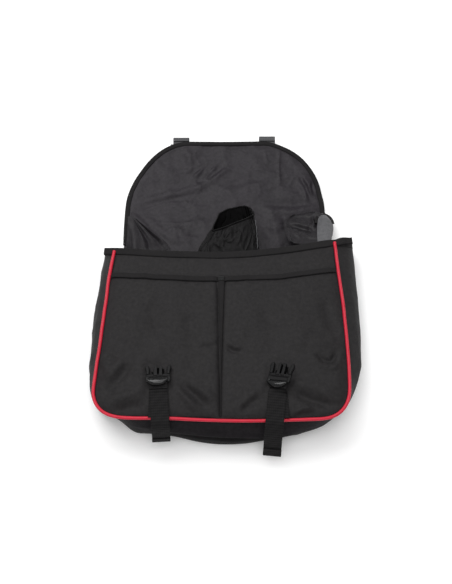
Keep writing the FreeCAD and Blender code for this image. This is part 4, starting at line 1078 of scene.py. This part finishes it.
for nm, (xc, deg, drop, _, lean) in STR.items():
    ch = []
    du, dv = (-1.8, 3.2) if nm == "left" else (-2.2, -1.4)
    # half-moon lip, domed, running out to nothing at the side posts
    secs = []
    for x in np.linspace(-16.6, 16.6, 41):
        q = abs(x) / 16.6
        vf, vb = (44.8 + 8.6 * q ** 2.9, 56.4) if nm == "left" else (44.6 + 9.0 * q ** 2.1, 55.4)
        c_, r_ = (vf + vb) / 2, max((vb - vf) / 2, 1.5)
        zc, zr = 76.4 - 0.4 * q * q, 4.2 - 1.7 * q * q
        secs.append([(x + du, dv + c_ + r_ * math.cos(a), zc + zr * math.sin(a) * (1.0 if math.sin(a) > 0 else 0.8)) for a in np.linspace(0, 2 * math.pi, 21)[:-1]])
    ch.append(chunk(secs))
    # side posts, lower than the lip
    for sgn in (-1, 1):
        ch.append(slab([(sgn * 15.2, 52.8), (sgn * 17.4, 53.8), (sgn * 18.3, 58.0), (sgn * 18.3, 63.4), (sgn * 17.2, 65.6), (sgn * 14.2, 65.2), (sgn * 14.2, 56.0)][:: sgn], 74.0, 77.2))
    # flat plate, then the shoulder that carries the prongs, with raised edges
    ch.append(slab([(-16.0, 55.6), (16.0, 55.6), (16.0, 62.5), (-16.0, 62.5)], 75.4, 76.4))
    ch.append(slab([(-17.6, 61.4), (17.6, 61.4), (18.0, 65.4), (13.0, 66.4), (-13.0, 66.4), (-18.0, 65.4)], 74.4, 77.2))
    ch.append(rod([(-17.0, 62.4, 77.0), (17.0, 62.4, 77.0)], [(0.8, 0.8)] * 2, 10))
        # guide rails either side of a web
    tip = 81.0 if nm == "left" else 84.0
    for sgn in (-1, 1):
        ch.append(slab([(sgn * 1.3, 64.0), (sgn * 6.6, 64.0), (sgn * 6.2, 70.0), (sgn * 5.7, tip - 2.0), (sgn * 4.8, tip), (sgn * 2.6, tip), (sgn * 1.8, tip - 2.0)][:: sgn], 72.8, 78.2))
        ch.append(slab([(sgn * 8.2, 65.0), (sgn * 11.0, 65.0), (sgn * 10.2, 69.4), (sgn * 9.0, 69.4)][:: sgn], 74.2, 76.2))
    ch.append(slab([(-5.0, 64.0), (5.0, 64.0), (5.0, 67.4), (-5.0, 67.4)], 75.0, 76.6))
    # low webs beside the prongs; lying below 75.2 mm they take the near-black painted-shade plastic, which stands in
    # for the shadow in the gaps
    ch.append(slab([(-2.0, 64.0), (2.0, 64.0), (2.0, tip - 1.5), (-2.0, tip - 1.5)], 72.4, 73.6))
    ch.append(slab([(-11.4, 64.0), (-7.6, 64.0), (-8.4, 73.0), (-10.4, 73.0)], 72.4, 73.6))
    ch.append(slab([(5.6, 64.0), (9.6, 64.0), (8.2, tip - 4.0), (5.4, tip - 4.0)], 72.4, 73.6))
    ob = moulded(nm + "_plug_body", ch, voxel=0.36, smooth=5, faces=15000)
    # index 1: polished lip; index 2: faces below 75.2 mm take the near-black copy, painted shade on sides, undersides
    # and low webs
    low = [1 if q.center[1] / MM < 57.0 + dv and -18.9 < q.center[0] / MM < 14.4 else (2 if q.center[2] / MM < 75.2 else 0) for q in ob.data.polygons]
    to_world(ob, xc, deg, nm); paint(ob, "plastic"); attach(ob, "strap_" + nm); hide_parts(nm + "_buckle_plug")
    ob.data.materials.append(M["gloss"]); ob.data.materials.append(M["painted_shade"]); ob.data.polygons.foreach_set("material_index", low)
    for sgn in (-1, 1):
        tag = ("outer" if sgn < 0 else "inner") if nm == "left" else ("inner" if sgn < 0 else "outer")
        o = [(12.8, 65.6), (17.8, 65.6), (17.8, 70.0), (18.6, 73.6), (19.6, 76.4), (19.8, 79.0), (19.2, tip - 1.6), (17.6, tip + 0.8), (15.2, tip + 0.8), (13.8, tip - 1.4), (13.1, 77.0), (12.8, 71.0)]
        secs = []
        for zz_, gr in ((72.6, -1.2), (73.4, -0.3), (75.4, 0.1), (77.4, -0.3), (78.3, -1.3)):
            cx_, cy_ = 16.2, 73.5
            secs.append([(sgn * (cx_ + (a - cx_) * (1 + gr / 3.2)), cy_ + (b - cy_) * (1 + gr / 9.0), zz_) for a, b in o])
        ob = moulded("%s_arm_%s_spring" % (nm, tag), [chunk(secs)], voxel=0.34, smooth=5, faces=3600)
        # faces below 75.4 mm take the near-black copy: painted shade on the arm's sides and underside
        under = [1 if q.center[2] / MM < 75.4 else 0 for q in ob.data.polygons]
        to_world(ob, xc, deg, nm); paint(ob, "plastic"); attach(ob, "arm_%s_%s" % (nm, tag))
        ob.data.materials.append(M["painted_shade"]); ob.data.polygons.foreach_set("material_index", under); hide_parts("%s_arm_%s" % (nm, tag))

# sockets, tucked under the flap's tip
for nm, x in (("left", -78.5), ("right", 72.0)):
    h = 21.4; z0, z1 = 0.5, 7.9
    ch = []
    for za, zb_ in ((z0, z0 + 1.5), (z1 - 1.5, z1)):
        ch.append(slab([(x - h + 3, 369.4), (x + h - 3, 369.4), (x + h - 0.5, 372), (x + h - 0.3, 376.2), (x + h - 5.5, 377.0), (x + h - 5.5, 386.0), (x + h - 0.3, 387.0), (x + h - 0.6, 391.5), (x + h - 3, 396),
                        (x - h + 3, 396), (x - h + 0.6, 391.5), (x - h + 0.3, 387.0), (x - h + 5.5, 386.0), (x - h + 5.5, 377.0), (x - h + 0.3, 376.2), (x - h + 0.5, 372)], za, zb_))
    for sgn in (-1, 1):
        ch.append(slab([(x + sgn * (h - 2.0), 370.4), (x + sgn * (h - 0.3), 371.6), (x + sgn * (h - 0.3), 376.0), (x + sgn * (h - 2.0), 376.4)][:: sgn], z0 + 0.5, z1 - 0.5))
        ch.append(slab([(x + sgn * (h - 2.2), 386.8), (x + sgn * (h - 0.3), 387.4), (x + sgn * (h - 0.7), 393.0), (x + sgn * (h - 2.6), 396.5)][:: sgn], z0 + 0.5, z1 - 0.5))
        ch.append(slab([(x + sgn * 16.4, 393.0), (x + sgn * (h - 1.5), 393.0), (x + sgn * (h - 2.8), 402.0), (x + sgn * 16.4, 403.2)][:: sgn], z0 + 0.4, z1 - 0.4))
    ch.append(slab([(x - 18, 392.8), (x + 18, 392.8), (x + 18, 395.4), (x - 18, 395.4)], z0 + 0.2, z1 - 0.2))
    ch.append(rod([(x - 18.2, 402.0, 4.1), (x, 402.3, 4.1), (x + 18.2, 402.0, 4.1)], [(1.9, 2.6)] * 3, 12))
    ob = moulded(nm + "_socket_body", ch, voxel=0.5, faces=9000)
    paint(ob, "plastic"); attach(ob, "socket_" + nm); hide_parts(nm + "_buckle_socket")
    lp = spline([(399.6, 5.8), (400.2, 7.6), (402.6, 7.9), (405.4, 6.2), (409.6, 5.4), (412.0, 6.6), (413.0, 9.0), (413.2, 11.3)], 50)
    P = np.stack([np.full(50, x), lp[:, 0], lp[:, 1]], 1)
    up = np.cross(np.array([[1.0, 0, 0]]), np.gradient(P, axis=0)); up /= np.linalg.norm(up, axis=1)[:, None]
    ob = sweep(nm + "_socket_loop", P, tape_profile(28.0, WT, 15), up)
    paint(ob, "tabweb"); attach(ob, "socket_" + nm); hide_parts(nm + "_socket_webbing")
    # tab: sewn to the outer cloth under the flap, past its edge, turned over at the tip
    rise = -3.2 if nm == "left" else 0.4
    tb = [(380.0, 9.7), (392.0, 11.0), (404.0, 12.3), (409.5 + rise, 13.2), (412.6 + rise, 14.6), (411.4 + rise, 15.9), (408.0 + rise, 15.6), (404.6, 15.2)]
    lp = spline(tb, 70)
    P = np.stack([np.full(70, x), lp[:, 0], lp[:, 1]], 1)
    up = np.cross(np.array([[1.0, 0, 0]]), np.gradient(P, axis=0)); up /= np.linalg.norm(up, axis=1)[:, None]
    ob = sweep(nm + "_tab_webbing", P, tape_profile(28.0, WT, 15), up)
    paint(ob, "tabweb"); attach(ob, "flap_panel"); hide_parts(nm + "_tab")

# =====================================================================
# Inner pouch and ears
# =====================================================================
NA, NL = 256, 104
A = np.linspace(0, 2 * math.pi, NA + 1)[:-1]
AD = np.degrees(A)


def closed(ang, vals):
    """Smooth periodic curve through values at given angles (degrees)."""
    ang = list(ang); vals = list(vals)
    o = np.argsort(ang); ang = np.array(ang)[o]; vals = np.array(vals, float)[o]
    a3 = np.concatenate([ang - 360, ang, ang + 360]); v3 = np.concatenate([vals, vals, vals])
    c = np.stack([a3, v3], 1)
    out = np.interp(AD, a3, v3)
    k = np.hanning(17); k /= k.sum()
    return np.convolve(np.concatenate([out[-8:], out, out[:8]]), k, "valid")


RIM = [(0, 45.5, 232.0, 54.0), (40, 34.0, 223.5, 60.0), (90, 11.0, 211.0, 63.0), (135, -7.0, 204.2, 61.5), (165, -17.5, 201.2, 58.5), (185, -22.5, 204.5, 54.0), (212, -19.0, 220.0, 49.5), (240, -12.8, 240.0, 44.5),
       (268, 2.5, 251.0, 42.0), (295, 17.0, 253.5, 41.5), (318, 30.0, 256.0, 43.0), (334, 38.5, 252.0, 46.0), (347, 43.0, 243.0, 50.0)]
rimc = np.stack([closed([r[0] for r in RIM], [r[k] for r in RIM]) for k in (1, 2, 3)], 1)
mouth = np.stack([4.0 + 49.0 * np.sign(np.cos(A)) * np.abs(np.cos(A)) ** 0.85, 170.0 + 0 * A, 43.0 + 14.5 * np.sign(np.sin(A)) * np.abs(np.sin(A)) ** 0.85], 1)
deep = np.stack([5.0 + 52.0 * np.cos(A), 112.0 + 0 * A, 31.0 + 15.0 * np.sin(A)], 1)
mids = (mouth * 0.42 + rimc * 0.58); mids[:, 0] = (mids[:, 0] - 8) * 1.07 + 8; mids[:, 2] += 2.0 * np.sin(A)
keys = np.array([deep * 0.98, deep * 0.45 + mouth * 0.55, mouth, mids, rimc])
P = np.zeros((NL, NA, 3))
kt = np.array([0.0, 0.25, 0.45, 0.76, 1.0])
for j in range(NA):
    Q = spline(keys[:, j], 120)
    P[:, j] = resample(Q, NL)
Nn = np.cross(np.roll(P, -1, 1) - np.roll(P, 1, 1), np.gradient(P, axis=0)); Nn /= np.maximum(np.linalg.norm(Nn, axis=2), 1e-6)[..., None]
cen = P.mean(axis=1, keepdims=True)
sgn = np.sign(((P - cen) * Nn).sum(2)).mean(); Nn = Nn * (1 if sgn > 0 else -1)
T2, A2 = np.meshgrid(np.linspace(0, 1, NL), A, indexing="ij")
cx, cy = np.cos(A2) * 2.2, np.sin(A2) * 2.2
wr = 1.5 * (folds(cx + 0.6 * T2 + 7, cy + T2 * 4.4, 161, 2.2) - 0.35) + 1.3 * fbm(cx * 0.8 + 3, cy * 0.8 + T2 * 4, 162, 4)
right_side = np.maximum(bump(A2, 0.15, 0.75), bump(A2, 2 * math.pi + 0.15, 0.75))
right_only = np.maximum(bump(A2, 5.95, 0.42), np.maximum(bump(A2, 0.12, 0.34), bump(A2, 2 * math.pi + 0.12, 0.34)))
crump = 1.5 * (folds(cx * 2.4 + 3, cy * 2.4 + T2 * 8.5, 168, 2.0) - 0.35) * sm(0.3, 0.5, T2) * sm(1.02, 0.9, T2)
lines = 1.15 * right_only * np.sin(A2 * 74 + 2.5 * np.sin(A2 * 9 + 3 * T2)) * sm(0.70, 0.97, T2)
gath = crump + lines + (1.9 * right_only + 0.12) * (np.sin(A2 * 31 + 4.2 * np.sin(A2 * 3 + 1) + 5.0 * (T2 - 1) * np.sin(A2 * 2)) * 0.7 + 0.8 * fbm(A2 * 9, T2 * 5, 167, 3)) * sm(0.35, 0.97, T2)
front_dent = -3.2 * bump(A2, 4.15, 0.5) * bump(T2, 0.90, 0.12) + 2.2 * bump(A2, 4.9, 0.45) * bump(T2, 0.80, 0.18) - 2.0 * bump(A2, 5.3, 0.22) * bump(T2, 0.86, 0.2)
P = P + Nn * (1.15 * wr * sm(0.0, 0.2, T2) * sm(1.06, 0.85, T2) + gath + front_dent)[..., None]
P[..., 2] += 0.8 * sm(0.9, 1.0, T2) * np.sin(A2 * 5 + 1)
UV = np.stack([A2 * 30, T2 * 140], 2)
pch = grid("inner_pouch_cloth", P, uv=UV, thick=0.7, wrap=True, flip=True)
paint(pch, "pouch"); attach(pch, "root"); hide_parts("inner_pouch")
# the faces on the pouch's inner side take the near-black copy: painted shade inside the pouch
pch.data.materials.append(M["pouch_inside_shade"])
half = (NL - 1) * NA
inner_side = [0] * len(pch.data.polygons)
mid_p = P.mean(axis=(0, 1))
c0 = np.array([q.center[:] for q in pch.data.polygons]) / MM; n0 = np.array([q.normal[:] for q in pch.data.polygons])
axis_at = np.stack([np.interp(c0[:, 1], cen[:, 0, 1], cen[:, 0, k]) for k in range(3)], 1)
inward = ((c0 - axis_at) * n0).sum(1) < 0
first = inward[:half].mean() > 0.5
for k in range(len(inner_side)):
    inner_side[k] = 1 if (k < half) == first and k < 2 * half else 0
pch.data.polygons.foreach_set("material_index", inner_side)
rimp = np.vstack([P[-1], P[-1][:1]]); rimp = resample(rimp, 261)[:-1]
TT = np.roll(rimp, -1, 0) - np.roll(rimp, 1, 0); TT /= np.linalg.norm(TT, axis=1)[:, None]
UU = np.array([0, 0.25, 1.0]) - (TT @ np.array([0, 0.25, 1.0]))[:, None] * TT; UU /= np.linalg.norm(UU, axis=1)[:, None]
BB = np.cross(TT, UU)
ra = np.linspace(0, 2 * math.pi, 11)[:-1]
rr = (1.75 + 0.28 * np.sin(np.arange(260) * 1.15) + 0.2 * fbm(np.arange(260) / 9.0, np.zeros(260), 165, 2))
EV = rimp[:, None, :] + BB[:, None, :] * (rr[:, None] * np.cos(ra)[None] * 0.85)[..., None] + UU[:, None, :] * (rr[:, None] * np.sin(ra)[None] * 1.3)[..., None]
el = grid("pouch_elastic_edge", EV.transpose(1, 0, 2)[:, :, :], uv=np.stack(np.meshgrid(np.arange(260) * 1.2, ra * 2), 2), wrap=True)
bm = bmesh.new(); bm.from_mesh(el.data)
n_ = 260
bm.verts.ensure_lookup_table()
for j in range(n_):
    a_, b_ = 9 * n_ + j, 9 * n_ + (j + 1) % n_
    bm.faces.new((bm.verts[a_], bm.verts[b_], bm.verts[(j + 1) % n_], bm.verts[j]))
bmesh.ops.recalc_face_normals(bm, faces=bm.faces); bm.to_mesh(el.data); bm.free()
el.data.polygons.foreach_set("use_smooth", [True] * len(el.data.polygons))
paint(el, "pouch"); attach(el, "root"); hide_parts("pouch_elastic")
# a loose thread of the pouch's side seam
sv = spline([(47.8, 222.0, 57.5), (49.4, 205.0, 59.4), (50.4, 186.0, 60.6), (50.8, 168.0, 60.5)], 60)
sv[:, 0] += 0.35 * np.sin(np.arange(60) * 0.5)
sth = sweep("pouch_side_seam_thread", sv, ring(0.42, 6), (0, 0, 1))
paint(sth, "pale"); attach(sth, "root")
for q in (pch, el, sth):
    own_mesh(q)


def patch(name, corners, n, m, zfun, mat, thick=0.6):
    """A soft patch through a net of points (rows of equal length)."""
    C = np.array(corners, float)
    rows = np.array([spline(r, m) for r in C])
    cols = np.array([spline(rows[:, j], n) for j in range(m)])
    Pp = np.transpose(cols, (1, 0, 2))
    u, v = np.meshgrid(np.linspace(0, 1, m), np.linspace(0, 1, n))
    Pp[..., 2] += zfun(Pp[..., 0], Pp[..., 1], u, v)
    ob = grid(name, Pp, thick=thick, sharp=60)
    paint(ob, mat); return ob


def ear_left(x, y, u, v):
    soft = sm(0, 0.06, u) * sm(0, 0.04, 1 - u)
    z = 2.6 * np.exp(-((u - 0.93) / 0.055) ** 2) - 3.0 * np.exp(-((u - 0.80) / 0.07) ** 2) * sm(0.95, 0.5, v)
    z += 2.4 * np.exp(-((u - 0.44) / 0.06) ** 2) * sm(1.0, 0.6, v) - 3.6 * np.exp(-((u - 0.54) / 0.055) ** 2) * sm(1.0, 0.55, v)
    z = 0.8 * z + 0.7 * (folds(x / 24, y / 34, 171, 2.4) - 0.3) * soft + 0.6 * fbm(x / 18, y / 18, 172, 3) * soft
    z -= 4.0 * np.exp(-((u - 0.2) / 0.12) ** 2) * sm(0.35, 0.0, v)
    return z


le = patch("left_ear_cloth", [[(-166, 176, 26), (-150, 178, 22), (-132, 178, 30), (-114, 178, 32), (-90, 177, 41)],
                              [(-165.5, 200, 18), (-152, 200, 15), (-138, 201, 21), (-122, 201, 20), (-101, 197, 32)],
                              [(-165.5, 222, 13), (-155, 221, 12), (-144, 220, 16), (-133, 219, 15), (-117, 214, 24)],
                              [(-166, 240, 10), (-159, 240, 10.5), (-152, 239, 12), (-145, 237, 12.5), (-135, 233, 17)],
                              [(-166.5, 257, 7.5), (-164, 257, 8), (-161, 256.5, 8.5), (-157, 255, 9), (-152, 250, 10.5)]], 76, 90, ear_left, "ear")
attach(le, "root"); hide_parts("left_ear")


def ear_right(x, y, u, v):
    soft = sm(0, 0.05, u) * sm(0, 0.05, 1 - u)
    z = 2.8 * np.exp(-((u - 0.05) / 0.05) ** 2) + 2.2 * np.exp(-((v - 0.93) / 0.06) ** 2) * sm(0.05, 0.3, u)
    z += crease(x, y, [(100, 232), (119, 227), (133, 222), (147, 210)], 5.5, -4.0) + crease(x, y, [(103, 238), (121, 234), (136, 229), (149, 218)], 4.0, 2.4)
    z += crease(x, y, [(113, 203), (131, 208), (146, 203)], 6, 1.6) + crease(x, y, [(143, 250), (146, 236), (145, 222)], 3.2, 2.4) + crease(x, y, [(149, 248), (151, 234), (150, 220)], 3.0, -2.4)
    z += 1.5 * (folds(x / 18, y / 24, 181, 2.4) - 0.3) * soft + 0.9 * fbm(x / 16, y / 16, 182, 3) * soft
    return z


re_ = patch("right_ear_cloth", [[(103, 190, 42), (118, 188, 40), (134, 188, 40), (150, 190, 42), (166, 193, 46)],
                                [(98, 212, 33), (114, 212, 31), (132, 211, 31), (149, 210, 34), (167, 210, 38)],
                                [(96, 232, 25), (114, 234, 23), (132, 232, 23), (149, 230, 26), (168, 229, 30)],
                                [(102, 246, 20), (116, 248, 17), (132, 248, 17), (148, 247, 19), (166, 244, 23)],
                                [(112, 254, 16), (122, 258, 13), (134, 261, 12), (147, 263, 13), (163, 258, 17)]], 76, 90, ear_right, "ear")
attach(re_, "root"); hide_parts("right_ear")
lobe = patch("right_ear_turned_edge", [[(149, 188, 47), (155, 188, 49.5), (162, 189, 49.5), (168, 190, 48), (172, 192, 44)],
                                       [(150, 212, 38), (156, 213, 40.5), (164, 213, 41), (172, 213, 39), (177, 213, 34)],
                                       [(152, 230, 30), (158, 231, 32.5), (166, 231, 33), (174, 230, 31), (178.5, 229, 27)],
                                       [(154, 242, 25), (160, 243, 27), (166, 243.5, 27), (172, 242, 26), (176, 240, 23)],
                                       [(157, 250, 20), (161, 252.5, 21), (165, 253, 21), (169, 251.5, 20.5), (172, 248, 19)]], 56, 40,
             lambda x, y, u, v: 0.8 * fbm(x / 12, y / 14, 191, 3) + 1.1 * np.exp(-((v - 0.33) / 0.06) ** 2) * sm(0.8, 0.3, u) - 1.2 * np.exp(-((v - 0.24) / 0.07) ** 2) * sm(0.85, 0.3, u), "pale")
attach(lobe, "root")
ot = spline([(150.5, 234, 25), (152.5, 246, 20), (157.5, 254.5, 16), (164.5, 257, 15), (171.5, 253, 16.5), (176.3, 244.5, 20.5), (178.2, 233, 26)], 90)
ear_b = sweep("right_ear_binding", ot, tape_profile(6.0, 1.8, 7, 0.1), (0.2, 0.35, 1))
paint(ear_b, "tape"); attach(ear_b, "root")
for q in (le, re_, lobe, ear_b):
    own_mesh(q)

# =====================================================================
# Rows of stitches
# =====================================================================


def stitches(name, path, up, length=2.5, gap=1.0, r=0.27, lift=0.0):
    path = np.asarray(path, float)
    d = np.concatenate([[0], np.cumsum(np.linalg.norm(np.diff(path, axis=0), axis=1))])
    V, F = [], []
    pos = 0.6
    upv = np.array(up, float); upv /= np.linalg.norm(upv)
    while pos + length < d[-1]:
        pts = np.array([[np.interp(pos + length * t, d, path[:, q]) for q in range(3)] for t in (0, 0.18, 0.5, 0.82, 1)])
        pts = pts + upv[None] * (np.array([-0.25, 0.10, 0.2, 0.10, -0.25]) + lift)[:, None]
        k = len(V); v, f = rod(pts, [r] * 5, 6, up=(0.13, 0.21, 1))
        V += v; F += [tuple(i + k for i in q) for q in f]
        pos += length + gap
    ob = new_mesh(name, V, F)
    ob.data.uv_layers.new(name="UVMap")
    return paint(ob, "thread")


xs2 = np.linspace(-190, 200, 160)
yy2 = np.interp(xs2, xs, ry) - 4.8
st1 = stitches("mouth_binding_stitching", np.stack([xs2, yy2, np.interp(xs2, xs, rz) + 1.85], 1), (0, 0, 1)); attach(st1, "root")
for side, nm in ((-1, "left"), (1, "right")):
    hx = np.linspace(-183 if side < 0 else -2, -15 if side < 0 else 174, 90)
    e1 = stitches("%s_hem_stitching" % nm, np.stack([hx, pocket_top(hx) - 8.1, np.full(90, 68.2)], 1), (0, -0.1, 1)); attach(e1, "root")
